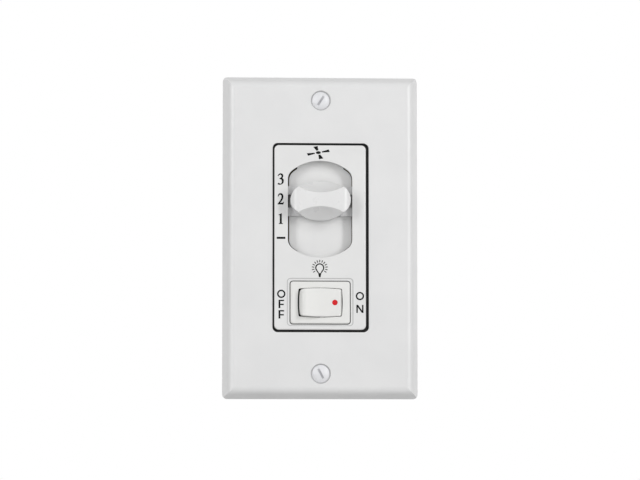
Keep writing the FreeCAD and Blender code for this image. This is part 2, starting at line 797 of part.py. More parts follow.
def slit_outline(sign):
    """Slit beside the track's floor pad, for one leg of the slider."""
    side = f"pad_shift+{sign}*bridge_width/2"
    edge = f"pad_shift+{sign}*{PAD_X}"
    corners = [
        (side, f"slot_z+{PAD_TOP}", -sign, PAD_R),
        (edge, f"slot_z+{PAD_SIDE}"),
        (edge, f"slot_z-{PAD_SIDE}", -sign, PAD_R),
        (side, f"slot_z-{PAD_TOP}"),
        (side, f"slot_z-{PAD_TOP}-slit_end"),
        (f"{sign}*{SLIT_X}", f"slot_z-{PAD_TOP}-slit_end"),
        (f"{sign}*{SLIT_X}", f"slot_z+{PAD_TOP}+slit_end"),
        (side, f"slot_z+{PAD_TOP}+slit_end"),
    ]
    return corners


def make_slide_track():
    """Recessed floor of the slot, with leg slits at both sides and detent grooves behind."""
    body = new_body("slide_track", CORE_X)
    add(body, "plate", "XZ_Plane", TRACK_BACK, "track_thickness",
        round_box("-track_seat_width/2+track_fit", "track_seat_width/2-track_fit",
                  f"{SEAT_LOW}+track_fit", f"{SEAT_HIGH}-track_fit", "seat_corner"))
    through = (f"{TRACK_BACK}+cut_past", "track_thickness+2*cut_past")
    cut(body, "slits", "XZ_Plane", *through, slit_outline(1), slit_outline(-1))
    soften(body, "pad_corners", "Fillet", "slot_corner-track_gap",
           corner_edges(PAD_X, PAD_SIDE, "pad_shift"))
    cut(body, "stake_holes", "XZ_Plane", *through,
        *[("circle", x, z, "stake/2+thread_fit") for x, z in STAKES])
    centre_y = f"({TRACK_BACK}-detent_depth+detent_radius)"
    grooves = [("circle", centre_y, f"slot_z+{step}*speed_pitch", "detent_radius")
               for step in (-1.5, -0.5, 0.5, 1.5)]
    cut(body, "detents", "YZ_Plane", "-detent_length/2", "detent_length", *grooves)
    return body


LEG_IN = f"({PAD_X}+pad_shift+leg_gap)"
LEG_OUT = f"({SLIT_X}-leg_gap)"
OVAL_X = "(knob_width/2-knob_end_radius)"
OVAL_R = f"(({OVAL_X}^2+(knob_height/2)^2-knob_end_radius^2)/(knob_height-2*knob_end_radius))"
OVAL_JOIN_X = f"({OVAL_X}*(1+knob_end_radius/({OVAL_R}-knob_end_radius)))"
OVAL_JOIN_Z = f"(({OVAL_R}-knob_height/2)*knob_end_radius/({OVAL_R}-knob_end_radius))"


def make_slider_knob():
    """Finger knob with two scooped faces, on a notched guide strip with four hooked legs."""
    body = new_body("slider_knob", CORE_X, STRIP_FRONT, KNOB_Z)
    add(body, "oval", "XZ_Plane", "0", "knob_rise", [
        (OVAL_JOIN_X, f"-{OVAL_JOIN_Z}", 1, "knob_end_radius"),
        (OVAL_JOIN_X, OVAL_JOIN_Z, 1, OVAL_R),
        (f"-{OVAL_JOIN_X}", OVAL_JOIN_Z, 1, "knob_end_radius"),
        (f"-{OVAL_JOIN_X}", f"-{OVAL_JOIN_Z}", 1, OVAL_R),
    ])
    axis_z = "(knob_waist/2+scoop_radius)"
    for sign, name in ((1, "upper_scoop"), (-1, "lower_scoop")):
        sketch = draw(body, name, "YZ_Plane", "0", [[
            ("-scoop_foot", f"{sign}*(knob_height/2+scoop_margin)", -sign, "scoop_curve"),
            ("-knob_rise-scoop_past", f"{sign}*(knob_waist/2-scoop_lean)"),
            ("-knob_rise-scoop_past", f"{sign}*{axis_z}"),
            ("-scoop_foot", f"{sign}*{axis_z}"),
        ]])
        level = value(f"{sign}*{axis_z}")
        front_end = Vector(-value("knob_rise"), level, 0)
        line = sketch.addGeometry(Part.LineSegment(front_end, Vector(0, level, 0)), True)
        sketch.addConstraint(Sketcher.Constraint("Horizontal", line))
        fix(sketch, "DistanceY", -1, 1, line, 1, f"{sign}*{axis_z}")
        fix(sketch, "DistanceX", -1, 1, line, 1, "-knob_rise")
        fix(sketch, "DistanceX", -1, 1, line, 2, "0")
        doc.recompute()
        groove = body.newObject("PartDesign::Groove", name)
        groove.Profile = sketch
        groove.ReferenceAxis = (sketch, ["Axis0"])
        groove.Angle = 360
        doc.recompute()
    end_x = "(knob_width/2+knob_end_lap)"
    ends = []
    for sign in (1, -1):
        ends.append([
            (f"{sign}*({end_x}-knob_end_round)", "-knob_rise", sign, "knob_end_round"),
            (f"{sign}*{end_x}", "-knob_rise+knob_end_round"),
            (f"{sign}*{end_x}", "-knob_rise-cut_past"),
            (f"{sign}*({end_x}-knob_end_round)", "-knob_rise-cut_past"),
        ])
    cut(body, "end_rounds", "XY_Plane", "-knob_height/2-cut_past", "knob_height+2*cut_past", *ends)
    add(body, "strip", "XZ_Plane", "strip_thickness", "strip_thickness",
        middle_box(f"2*{LEG_OUT}", "strip_height"))
    notch_z = "(notch_height/2)"
    notch_in = "(knob_width/2-notch_under)"
    past = f"({LEG_OUT}+cut_past)"
    cut(body, "notches", "XZ_Plane", "strip_thickness+cut_past", "strip_thickness+cut_past",
        box(notch_in, past, f"-{notch_z}", notch_z), box(f"-{past}", f"-{notch_in}", f"-{notch_z}", notch_z))
    leg_end = f"({CARRIER_BACK}+hook_thickness-{STRIP_FRONT})"
    hook_in = f"({LEG_IN}-hook_reach)"
    for name, inner, length in (
        ("legs", LEG_IN, f"{leg_end}-strip_thickness"),
        ("hooks", hook_in, "hook_thickness"),
    ):
        blocks = []
        for low, high in ((notch_z, f"{notch_z}+leg_height"), (f"-{notch_z}-leg_height", f"-{notch_z}")):
            blocks.append(box(inner, LEG_OUT, low, high))
            blocks.append(box(f"-{LEG_OUT}", f"-{inner}", low, high))
        add(body, name, "XZ_Plane", leg_end, length, *blocks)
    return body


def make_contact_carrier():
    """Carrier behind the track, clipped between the slider's legs."""
    body = new_body("contact_carrier", CORE_X, CARRIER_FRONT, KNOB_Z)
    add(body, "block", "XZ_Plane", "carrier_thickness", "carrier_thickness",
        middle_box(f"2*({LEG_IN}-carrier_fit)", "carrier_height", "carrier_corner"))
    cut(body, "spring_pocket", "XZ_Plane", "spring_pocket_depth", "spring_pocket_depth+cut_past",
        middle_box("spring_pocket_width", "spring_pocket_length", "spring_pocket_corner"))
    peg = "(wiper_leaf+wiper_peg_head)"
    add(body, "wiper_peg", "XZ_Plane", f"carrier_thickness+{peg}", f"{peg}+sink",
        ("circle", "0", "0", "wiper_peg/2"))
    return body


def make_detent_spring():
    """Bowed spring leaf whose bump drops into the track's grooves."""
    body = new_body("detent_spring", CORE_X, CARRIER_FRONT, KNOB_Z)
    half = "(spring_pocket_length/2-spring_end_gap)"
    deep = "(spring_pocket_depth-spring_seat_gap)"
    leaf = "spring_leaf"
    foot = "(bump_foot-slide_gap)"
    bump = "(bump_clear-slide_gap-detent_depth)"
    width = "(spring_pocket_width-2*spring_end_gap)"
    upper = [
        (f"{bump}+bump_sag", "bump_tip"),
        (foot, "bump_run"),
        (f"{deep}-{leaf}", half),
        (deep, half),
        (f"{foot}+{leaf}", "bump_run-leaf_bend"),
        (f"{bump}+{leaf}+bump_sag", "bump_tip-leaf_bend"),
    ]
    lower = [(y, f"-({z})") for y, z in reversed(upper)]
    add(body, "leaf", "YZ_Plane", f"-{width}/2", width, [(bump, "0")] + upper + lower)
    return body


def make_wiper_contact():
    """Spring bridge that joins the common bus to one speed contact."""
    body = new_body("wiper_contact", CORE_X, CARRIER_BACK, KNOB_Z)
    leaf = "wiper_leaf"
    tip = "(wiper_leaf+wiper_drop)"
    heel = "(contact_x-wiper_foot)"
    ball = "(contact_x+wiper_foot)"
    right = [
        ("wiper_flat", "0"),
        (heel, f"{tip}-{leaf}"),
        (ball, f"{tip}-{leaf}"),
        (f"{ball}+wiper_toe", f"{tip}-{leaf}-wiper_toe"),
        (f"{ball}+wiper_toe+{leaf}*0.7", f"{tip}-{leaf}*0.3-wiper_toe"),
        (f"{ball}+{leaf}*0.4", tip),
        (f"{heel}-{leaf}*0.6", tip),
        (f"wiper_flat-{leaf}*0.6", leaf),
    ]
    left = [(f"-({x})", y) for x, y in reversed(right)]
    add(body, "bridge", "XY_Plane", "-wiper_width/2", "wiper_width", right + left)
    cut(body, "peg_hole", "XZ_Plane", "wiper_leaf+cut_past", "wiper_leaf+2*cut_past",
        ("circle", "0", "0", "wiper_peg/2+thread_fit"))
    return body


def make_speed_board():
    """Contact board, screwed to the insert's bosses."""
    body = new_body("speed_board", CORE_X)
    add(body, "sheet", "XZ_Plane", BOARD_BACK, "board_thickness",
        middle_box("board_width", "board_height", "board_corner", "0", BOARD_Z))
    cut(body, "holes", "XZ_Plane", f"{BOARD_BACK}+cut_past", "board_thickness+2*cut_past",
        *[("circle", x, z, "board_screw_hole/2") for x, z in BOARD_BOSSES])
    return body


def make_speed_contact(name, step):
    """One contact of a fan speed."""
    body = new_body(name, CORE_X, CONTACT_FRONT, f"slot_z+{step}*speed_pitch")
    add(body, "segment", "XZ_Plane", "contact_thickness", "contact_thickness",
        middle_box("contact_width", "contact_length", "contact_corner", "contact_x", "0"))
    return body


def make_common_bus():
    """Long contact that feeds the wiper at every position."""
    body = new_body("common_bus", CORE_X, CONTACT_FRONT, "slot_z")
    add(body, "segment", "XZ_Plane", "contact_thickness", "contact_thickness",
        middle_box("contact_width", "3*speed_pitch+contact_length", "contact_corner", "-contact_x", "0"))
    return body


def make_board_screw(name, x, z):
    """Small screw that holds the board to one boss."""
    body = new_body(name, f"{CORE_X}+{x}", BOARD_BACK, z)
    crown = "board_screw_head_height"
    edge = "board_screw_head_round"
    spin(body, "turned", "Revolution", "XY_Plane", [
        ("0", "-board_screw_length"),
        ("board_pilot/2-thread_fit-screw_point", "-board_screw_length"),
        ("board_pilot/2-thread_fit", "-board_screw_length+screw_point"),
        ("board_pilot/2-thread_fit", "0"),
        ("board_screw_head/2", "0"),
        ("board_screw_head/2", f"{crown}-{edge}", 1, edge),
        (f"board_screw_head/2-{edge}", crown),
        ("0", crown),
    ])
    return body


def make_capacitor(name, size):
    """Film capacitor in a moulded box, its two leads ending at the board."""
    body = new_body(name, CORE_X, BOARD_BACK, f"{BOARD_Z}+{size}_z")
    add(body, "box", "XZ_Plane", f"cap_stand+{size}_depth", f"{size}_depth",
        middle_box(f"{size}_width", f"{size}_height", "cap_round"))
    soften(body, "rim", "Fillet", "cap_round", level_edges("Y", f"cap_stand+{size}_depth"))
    feet = [("circle", f"{sign}*({size}_width/2-cap_lead_inset)", "0", "cap_lead/2") for sign in (1, -1)]
    add(body, "leads", "XZ_Plane", "cap_stand+sink", "cap_stand+sink", *feet)
    return body


def make_resistor(name, z):
    """Bleed resistor on bent leads."""
    body = new_body(name, CORE_X, f"{BOARD_BACK}+resistor_stand", f"{BOARD_Z}+{z}")
    half = "resistor_length/2"
    radius = "resistor_body/2"
    spin(body, "bulb", "Revolution", "XY_Plane", [
        (f"-{half}", "0"),
        (half, "0"),
        (half, f"{radius}-resistor_shoulder"),
        (f"{half}-resistor_shoulder", radius),
        (f"-({half}-resistor_shoulder)", radius),
        (f"-{half}", f"{radius}-resistor_shoulder"),
    ], "H_Axis")
    lead = "resistor_lead/2"
    bend = "(resistor_lead/2+resistor_bend)"
    add(body, "lead", "YZ_Plane", "-resistor_span/2", "resistor_span", ("circle", "0", "0", lead))
    feet = [("circle", f"{sign}*resistor_span/2", "0", bend) for sign in (1, -1)]
    add(body, "feet", "XZ_Plane", bend, f"resistor_stand+{bend}", *feet)
    return body


def make_rear_housing():
    """Closed box behind the strap, with four screw posts and an outlet for the leads."""
    body = new_body("rear_housing", CORE_X)
    add(body, "blank", "XZ_Plane", "housing_depth", "housing_depth",
        middle_box("housing_width", "housing_height", "housing_corner"))
    soften(body, "back_edge", "Fillet", "housing_back_round", level_edges("Y", "housing_depth"))
    cut(body, "hollow", "XZ_Plane", "housing_depth-housing_wall", "housing_depth",
        middle_box("housing_width-2*housing_wall", "housing_height-2*housing_wall", "housing_inner_corner"))
    add(body, "posts", "XZ_Plane", "housing_depth-housing_wall/2", "housing_depth-housing_wall/2-post_front",
        *[("circle", x, z, "post/2") for x, z in POSTS])
    outside = "(housing_depth+cut_past)"
    cut(body, "counterbores", "XZ_Plane", outside, f"{outside}-post_front-screw_seat",
        *[("circle", x, z, "counterbore/2") for x, z in POSTS])
    cut(body, "screw_holes", "XZ_Plane", outside, f"{outside}+cut_past",
        *[("circle", x, z, "housing_hole/2") for x, z in POSTS])
    cut(body, "lead_outlet", "XZ_Plane", outside, "housing_wall+2*cut_past",
        pill("lead_slot_width", "lead_slot_height", "0", "lead_slot_z"))
    return body


def make_housing_screw(name, x, z):
    """Screw from behind, through housing and strap into the insert."""
    body = new_body(name, f"{CORE_X}+{x}", "post_front+screw_seat", z)
    crown = "housing_screw_head_height"
    edge = "housing_screw_head_round"
    spin(body, "turned", "Revolution", "XY_Plane", [
        ("0", "-housing_screw_length"),
        ("housing_pilot/2-thread_fit-screw_point", "-housing_screw_length"),
        ("housing_pilot/2-thread_fit", "-housing_screw_length+screw_point"),
        ("housing_pilot/2-thread_fit", "0"),
        ("housing_screw_head/2", "0"),
        ("housing_screw_head/2", f"{crown}-{edge}", 1, edge),
        (f"housing_screw_head/2-{edge}", crown),
        ("0", crown),
    ])
    return body


# Light switch: levels along Y, behind the rocker's pivot
SADDLE_R = "(terminal_thickness/2)"
ARCH_IN = f"({SADDLE_R}+lever_fit)"
ARCH_OUT = f"({ARCH_IN}+lever_leaf)"
SADDLE = f"({PIVOT}+plunger_reach+lever_gap+{ARCH_OUT})"
STOP = f"({SADDLE}+(tip_x+stop_out)*tan(lever_tilt)+tip_gap)"
LOAD_FRONT = f"({SADDLE}+(tip_x+tip_size/2)*tan(lever_tilt)+tip_height/cos(lever_tilt)+tip_gap)"
FLOOR_IN = f"({SWITCH_BACK}-switch_floor)"
TERMINAL_END = f"({SWITCH_BACK}+terminal_reach)"
BOX_X = "(cutout_width/2-cutout_gap)"
BOX_Z = "(cutout_height/2-cutout_gap)"
ROCKER_R = "(rocker_opening/2-rocker_gap)"
ROCKER_X = f"({ROCKER_R}-rocker_lean)"
ROCKER_WIDTH = "(rocker_opening_height-2*rocker_side_gap)"
BORE_END = "(hub_reach-plunger_bore_depth)"
SHOULDER = "(hub_reach-plunger_sink-plunger_head_length)"


def barrel(half_x, half_z):
    """Outline whose four sides bow outwards."""
    x = f"({half_x}-opening_bow)"
    z = f"({half_z}-opening_bow)"
    long_r = f"({x}^2+opening_bow^2)/(2*opening_bow)"
    short_r = f"({z}^2+opening_bow^2)/(2*opening_bow)"
    return [
        (x, f"-{z}", 1, short_r),
        (x, z, 1, long_r),
        (f"-{x}", z, 1, short_r),
        (f"-{x}", f"-{z}", 1, long_r),
    ]


def make_switch_frame():
    """Snap-in frame of the light switch, with bezel, cavity, pivot holes and snap wings."""
    body = new_body("switch_frame", CORE_X, "0", "switch_z")
    add(body, "bezel", "XZ_Plane", RECESS_FLOOR, "bezel_thickness",
        middle_box("bezel_width", "bezel_height", "bezel_corner"))
    soften(body, "bezel_edge", "Fillet", "bezel_round", level_edges("Y", BEZEL_FRONT))
    add(body, "case", "XZ_Plane", SWITCH_BACK, "switch_depth",
        middle_box(f"2*{BOX_X}", f"2*{BOX_Z}", "case_corner"))
    cut(body, "cavity", "XZ_Plane", FLOOR_IN, "switch_depth-switch_floor",
        middle_box(f"2*({BOX_X}-switch_wall)", f"2*({BOX_Z}-switch_wall)"))
    cut(body, "mouth", "XZ_Plane", f"{RECESS_FLOOR}+sink", "sink+bezel_thickness+cut_past",
        barrel("rocker_opening/2", "rocker_opening_height/2"))
    mouth = value("rocker_opening/2-opening_bow")
    soften(body, "mouth_corners", "Fillet", "mouth_corner", lambda e: (
        abs(abs(e.CenterOfMass.x) - mouth) < 0.01 and e.BoundBox.YLength > 1 and e.BoundBox.XLength < 0.01))
    cut(body, "pivot_holes", "XY_Plane", f"-{BOX_Z}", f"2*{BOX_Z}",
        ("circle", "0", PIVOT, "pivot_pin/2+pivot_fit"))
    add(body, "lever_stop", "XZ_Plane", f"{FLOOR_IN}+sink", f"{FLOOR_IN}+sink-{STOP}",
        box("tip_x-stop_in", "tip_x+stop_out", "-lever_width/2", "lever_width/2"))
    slots = [middle_box("terminal_thickness+2*terminal_fit", "terminal_width+2*terminal_fit", None, x)
             for x in ("0", "-tip_x")]
    cut(body, "terminal_slots", "XZ_Plane", f"{SWITCH_BACK}+cut_past", "switch_floor+2*cut_past", *slots)
    wing_y = f"({RECESS_FLOOR}+panel+wing_gap)"
    wings = []
    for sign in (1, -1):
        wings.append([
            (f"{sign}*({BOX_X}-sink)", wing_y),
            (f"{sign}*({BOX_X}+wing_reach)", f"{wing_y}+wing_lean"),
            (f"{sign}*({BOX_X}-sink)", f"{wing_y}+wing_length"),
        ])
    add(body, "wings", "XY_Plane", "-wing_height/2", "wing_height", *wings)
    return body


def make_rocker_button():
    """Rocker at ON: dished front between round shoulders, pins, and a hub for the plunger."""
    body = new_body("rocker_button", CORE_X, PIVOT, "switch_z")
    turn(body, Vector(0, 0, 1), "rocker_tilt")
    dish = f"({ROCKER_X}^2+rocker_dish^2)/(2*rocker_dish)"
    foot = f"sqrt({ROCKER_R}^2-rocker_skirt^2)"
    add(body, "profile", "XY_Plane", f"-{ROCKER_WIDTH}/2", ROCKER_WIDTH, [
        (f"-{ROCKER_X}", "-rocker_rise", -1, dish),
        (ROCKER_X, "-rocker_rise"),
        (ROCKER_R, "0"),
        (foot, "rocker_skirt"),
        (f"-{foot}", "rocker_skirt"),
        (f"-{ROCKER_R}", "0"),
    ])
    soften(body, "shoulders", "Fillet", "rocker_shoulder", level_edges("Y", "-rocker_rise"))
    cut(body, "barrel_sides", "XZ_Plane", "rocker_skirt+cut_past", "rocker_skirt+rocker_rise+2*cut_past",
        middle_box("rocker_opening+2*cut_past", "rocker_opening_height+2*cut_past"),
        barrel(ROCKER_R, f"{ROCKER_WIDTH}/2"))
    corner = value(f"{ROCKER_WIDTH}/2-opening_bow")
    soften(body, "corners", "Fillet", "rocker_corner", lambda e: (
        abs(abs(e.CenterOfMass.z) - corner) < 0.01 and e.BoundBox.YLength > 1 and abs(e.CenterOfMass.x) > 5))
    front = value("-rocker_rise+rocker_dish")
    soften(body, "front_edge", "Fillet", "rocker_edge", lambda e: e.BoundBox.YMax < front + 0.01)
    add(body, "hub", "XZ_Plane", "hub_reach", "hub_reach+sink", ("circle", "0", "0", "rocker_hub/2"))
    add(body, "pins", "XY_Plane", f"-{ROCKER_WIDTH}/2-pivot_reach", f"{ROCKER_WIDTH}+2*pivot_reach",
        ("circle", "0", "0", "pivot_pin/2"))
    cut(body, "plunger_bore", "XZ_Plane", "hub_reach+cut_past", "plunger_bore_depth+cut_past",
        ("circle", "0", "0", "plunger_bore/2"))
    dot_y = f"(-rocker_rise+rocker_dish*(1-(dot_x/{ROCKER_X})^2))"
    cut(body, "dot", "XZ_Plane", f"{dot_y}+dot_depth", "dot_depth+cut_past",
        ("circle", "dot_x", "0", "dot_size/2"))
    return body


def make_rocker_plunger():
    """Sprung plunger in the rocker's hub, its round tip over the contact lever."""
    body = new_body("rocker_plunger", CORE_X, PIVOT, "switch_z")
    turn(body, Vector(0, 0, 1), "rocker_tilt")
    head = "plunger_bore/2-plunger_fit"
    tip = "plunger_tip/2"
    spin(body, "turned", "Revolution", "XY_Plane", [
        ("0", f"{SHOULDER}-plunger_stem_length"),
        ("plunger_stem/2", f"{SHOULDER}-plunger_stem_length"),
        ("plunger_stem/2", SHOULDER),
        (head, SHOULDER),
        (head, f"{SHOULDER}+plunger_head_length"),
        (tip, f"{SHOULDER}+plunger_head_length"),
        (tip, f"plunger_reach-{tip}", 1, tip),
        ("0", "plunger_reach"),
    ])
    return body


def make_rocker_spring():
    """Coil spring between the bore's end and the plunger's shoulder."""
    body = new_body("rocker_spring", CORE_X, PIVOT, "switch_z")
    turn(body, Vector(0, 0, 1), "rocker_tilt")
    mean = "(plunger_bore+plunger_stem)/4"
    sketch = draw(body, "wire", "XY_Plane", "0",
                  [("circle", mean, f"{BORE_END}+coil_wire/2+coil_seat_gap", "coil_wire/2")])
    helix = body.newObject("PartDesign::AdditiveHelix", "coil")
    helix.Profile = sketch
    helix.ReferenceAxis = (sketch, ["V_Axis"])
    helix.Mode = "height-turns-angle"
    helix.setExpression("Height", ref(f"{SHOULDER}-{BORE_END}-coil_wire-2*coil_seat_gap"))
    helix.setExpression("Turns", ref("coil_turns"))
    doc.recompute()
    return body


def make_contact_lever():
    """See-saw lever on the common terminal, tilted as the switch is on."""
    body = new_body("contact_lever", CORE_X, SADDLE, "switch_z")
    turn(body, Vector(0, 0, 1), "-lever_tilt")
    shoulder = f"sqrt({ARCH_OUT}^2-lever_leaf^2)"
    add(body, "leaf", "XY_Plane", "-lever_width/2", "lever_width", [
        ("-lever_half", "-lever_leaf"),
        (f"-{shoulder}", "-lever_leaf", 1, ARCH_OUT),
        (shoulder, "-lever_leaf"),
        ("lever_half", "-lever_leaf"),
        ("lever_half", "0"),
        (ARCH_IN, "0", -1, ARCH_IN),
        ("0", f"-{ARCH_IN}", -1, ARCH_IN),
        (f"-{ARCH_IN}", "0"),
        ("-lever_half", "0"),
    ])
    return body


def make_lever_tip():
    """Silver contact riveted under the lever's left end."""
    body = new_body("lever_contact_tip", CORE_X, SADDLE, "switch_z")
    turn(body, Vector(0, 0, 1), "-lever_tilt")
    add(body, "disc", "XZ_Plane", "tip_height", "tip_height", ("circle", "-tip_x", "0", "tip_size/2"))
    return body


def make_common_terminal():
    """Blade that carries the lever on its round front edge."""
    body = new_body("common_terminal", CORE_X, "0", "switch_z")
    half = SADDLE_R
    wide = f"({half}+terminal_flange)"
    add(body, "blade", "XY_Plane", "-terminal_width/2", "terminal_width", [
        (f"-{half}", SADDLE, 1, half),
        ("0", f"{SADDLE}-{half}", 1, half),
        (half, SADDLE),
        (half, f"{FLOOR_IN}-terminal_flange"),
        (wide, f"{FLOOR_IN}-terminal_flange"),
        (wide, FLOOR_IN),
        (half, FLOOR_IN),
        (half, TERMINAL_END),
        (f"-{half}", TERMINAL_END),
        (f"-{half}", FLOOR_IN),
        (f"-{wide}", FLOOR_IN),
        (f"-{wide}", f"{FLOOR_IN}-terminal_flange"),
        (f"-{half}", f"{FLOOR_IN}-terminal_flange"),
    ])
    return body


def make_load_terminal():
    """Blade with a contact table that the lever meets when the switch is on."""
    body = new_body("load_terminal", f"{CORE_X}-tip_x", "0", "switch_z")
    half = SADDLE_R
    wide = f"({half}+terminal_flange)"
    table = "(tip_size/2)"
    add(body, "blade", "XY_Plane", "-terminal_width/2", "terminal_width", [
        (f"-{table}", LOAD_FRONT),
        (table, LOAD_FRONT),
        (table, f"{LOAD_FRONT}+terminal_thickness"),
        (half, f"{LOAD_FRONT}+terminal_thickness"),
        (half, f"{FLOOR_IN}-terminal_flange"),
        (wide, f"{FLOOR_IN}-terminal_flange"),
        (wide, FLOOR_IN),
        (half, FLOOR_IN),
        (half, TERMINAL_END),
        (f"-{half}", TERMINAL_END),
        (f"-{half}", FLOOR_IN),
        (f"-{wide}", FLOOR_IN),
        (f"-{wide}", f"{FLOOR_IN}-terminal_flange"),
        (f"-{half}", f"{FLOOR_IN}-terminal_flange"),
        (f"-{half}", f"{LOAD_FRONT}+terminal_thickness"),
        (f"-{table}", f"{LOAD_FRONT}+terminal_thickness"),
    ])
    return body


nodes = [
    make_wall_plate(),
    group("plate_screws", [
        make_plate_screw("upper_plate_screw", 1, "upper_slot_turn"),
        make_plate_screw("lower_plate_screw", -1, "lower_slot_turn"),
    ]),
    make_mounting_strap(),
    group("box_screws", [make_box_screw("upper_box_screw", 1), make_box_screw("lower_box_screw", -1)]),
    group("screw_retainers", [make_retainer("upper_retainer", 1), make_retainer("lower_retainer", -1)]),
    make_ground_screw(),
    make_front_insert(),
    make_slide_track(),
    make_slider_knob(),
    make_contact_carrier(),
    make_detent_spring(),
    make_wiper_contact(),
    make_speed_board(),
    group("speed_contacts", [
        make_speed_contact("speed_one_contact", -0.5),
        make_speed_contact("speed_two_contact", 0.5),
        make_speed_contact("speed_three_contact", 1.5),
    ]),
    make_common_bus(),
    group("board_screws", [
        make_board_screw(f"board_screw_{n}", x, z) for n, (x, z) in enumerate(BOARD_BOSSES, start=1)
    ]),
    make_capacitor("large_capacitor", "large_cap"),
    make_capacitor("small_capacitor", "small_cap"),
    group("bleed_resistors", [
        make_resistor("lower_resistor", "resistor_low_z"),
        make_resistor("upper_resistor", "resistor_high_z"),
    ]),
    make_rear_housing(),
    group("housing_screws", [
        make_housing_screw(f"housing_screw_{n}", x, z) for n, (x, z) in enumerate(POSTS, start=1)
    ]),
    make_switch_frame(),
    make_rocker_button(),
    make_rocker_plunger(),
    make_rocker_spring(),
    make_contact_lever(),
    make_lever_tip(),
    make_common_terminal(),
    make_load_terminal(),
]

doc.recompute()
for item in doc.Objects:
    if "Invalid" in item.State or "Error" in item.State:
        raise RuntimeError(f"{item.Label} did not rebuild")
os.makedirs("parts", exist_ok=True)
for node in nodes:
    if node.Shape.isNull() or not node.Shape.isValid() or not node.Shape.Solids:
        raise RuntimeError(f"{node.Label} has no valid shape")
    node.Shape.exportStep(f"parts/{node.Label}.step")
    bounds = node.Shape.BoundBox
    print(f"{node.Label}: {len(node.Shape.Solids)} solids, {node.Shape.Volume:.1f} mm3, "
          f"X {bounds.XMin:.2f}..{bounds.XMax:.2f} Y {bounds.YMin:.2f}..{bounds.YMax:.2f} "
          f"Z {bounds.ZMin:.2f}..{bounds.ZMax:.2f}")
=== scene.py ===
import math

import bpy
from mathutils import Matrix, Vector


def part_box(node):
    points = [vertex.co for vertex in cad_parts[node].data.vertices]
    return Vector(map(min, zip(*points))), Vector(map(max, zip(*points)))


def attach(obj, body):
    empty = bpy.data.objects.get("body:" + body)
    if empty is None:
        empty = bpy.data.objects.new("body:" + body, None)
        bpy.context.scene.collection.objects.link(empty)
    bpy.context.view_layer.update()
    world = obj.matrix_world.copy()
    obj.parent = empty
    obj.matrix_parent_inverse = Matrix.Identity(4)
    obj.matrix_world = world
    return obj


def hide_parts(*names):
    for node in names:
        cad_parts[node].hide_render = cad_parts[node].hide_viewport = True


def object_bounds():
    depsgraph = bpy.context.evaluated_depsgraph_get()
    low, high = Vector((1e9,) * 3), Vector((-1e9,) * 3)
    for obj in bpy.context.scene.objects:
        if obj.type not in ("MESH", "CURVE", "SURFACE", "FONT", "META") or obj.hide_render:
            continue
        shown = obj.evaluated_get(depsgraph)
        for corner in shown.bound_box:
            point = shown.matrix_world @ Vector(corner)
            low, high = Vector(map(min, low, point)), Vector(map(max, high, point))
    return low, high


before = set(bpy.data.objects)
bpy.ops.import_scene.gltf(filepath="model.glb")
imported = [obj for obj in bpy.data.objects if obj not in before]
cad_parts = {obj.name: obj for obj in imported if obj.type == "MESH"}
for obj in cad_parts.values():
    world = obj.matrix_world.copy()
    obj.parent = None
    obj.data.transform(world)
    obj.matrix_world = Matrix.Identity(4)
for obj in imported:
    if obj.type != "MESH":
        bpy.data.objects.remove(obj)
cad_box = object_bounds()


# Front insert and slide track: the white moulding that carries everything, and the
# recessed floor of its slot. Both are injection-moulded ABS with a fine satin skin, and
# the track lies in a seat at the insert's back.
MM = 0.001
COLOUR, NUMBER = "NodeSocketColor", "NodeSocketFloat"


def feed(tree, socket, value):
    """Sets a socket to a number or a colour, or links another socket to it."""
    if isinstance(value, tuple):
        socket.default_value = (*value, 1)
    elif isinstance(value, (int, float)):
        socket.default_value = value
    else:
        tree.links.new(value, socket)


def object_coords(tree):
    return tree.nodes.new("ShaderNodeTexCoord").outputs["Object"]


def add_noise(tree, coords, scale, detail, roughness=0.5):
    noise = tree.nodes.new("ShaderNodeTexNoise")
    for name, value in (("Vector", coords), ("Scale", scale), ("Detail", detail), ("Roughness", roughness)):
        feed(tree, noise.inputs[name], value)
    return noise.outputs["Fac"]


def add_range(tree, source, low, high, start=0, end=1):
    remap = tree.nodes.new("ShaderNodeMapRange")
    levels = {"Value": source, "From Min": low, "From Max": high, "To Min": start, "To Max": end}
    for name, value in levels.items():
        feed(tree, remap.inputs[name], value)
    return remap.outputs["Result"]


def add_mix(tree, factor, first, second):
    mix = tree.nodes.new("ShaderNodeMix")
    mix.data_type = "RGBA"
    for index, value in ((0, factor), (6, first), (7, second)):
        feed(tree, mix.inputs[index], value)
    return mix.outputs[2]


def add_math(tree, operation, first, second=0):
    node = tree.nodes.new("ShaderNodeMath")
    node.operation = operation
    feed(tree, node.inputs[0], first)
    feed(tree, node.inputs[1], second)
    return node.outputs[0]


def start_group(name, inputs, outputs):
    """A shader node group whose inputs and outputs are named with their kinds."""
    group = bpy.data.node_groups.new(name, "ShaderNodeTree")
    for side, sockets in (("INPUT", inputs), ("OUTPUT", outputs)):
        for label, kind in sockets.items():
            group.interface.new_socket(label, in_out=side, socket_type=kind)
    return group, group.nodes.new("NodeGroupInput").outputs, group.nodes.new("NodeGroupOutput").inputs


def place_group(tree, group, **values):
    node = tree.nodes.new("ShaderNodeGroup")
    node.node_tree = group
    for name, value in values.items():
        feed(tree, node.inputs[name.replace("_", " ")], value)
    return node.outputs


def start_material(name):
    material = bpy.data.materials.new(name)
    material.use_nodes = True
    return material, material.node_tree, material.node_tree.nodes["Principled BSDF"].inputs


def add_bump(tree, surface, height, strength, distance):
    bump = tree.nodes.new("ShaderNodeBump")
    for name, value in (("Strength", strength), ("Distance", distance), ("Height", height)):
        feed(tree, bump.inputs[name], value)
    feed(tree, surface["Normal"], bump.outputs["Normal"])


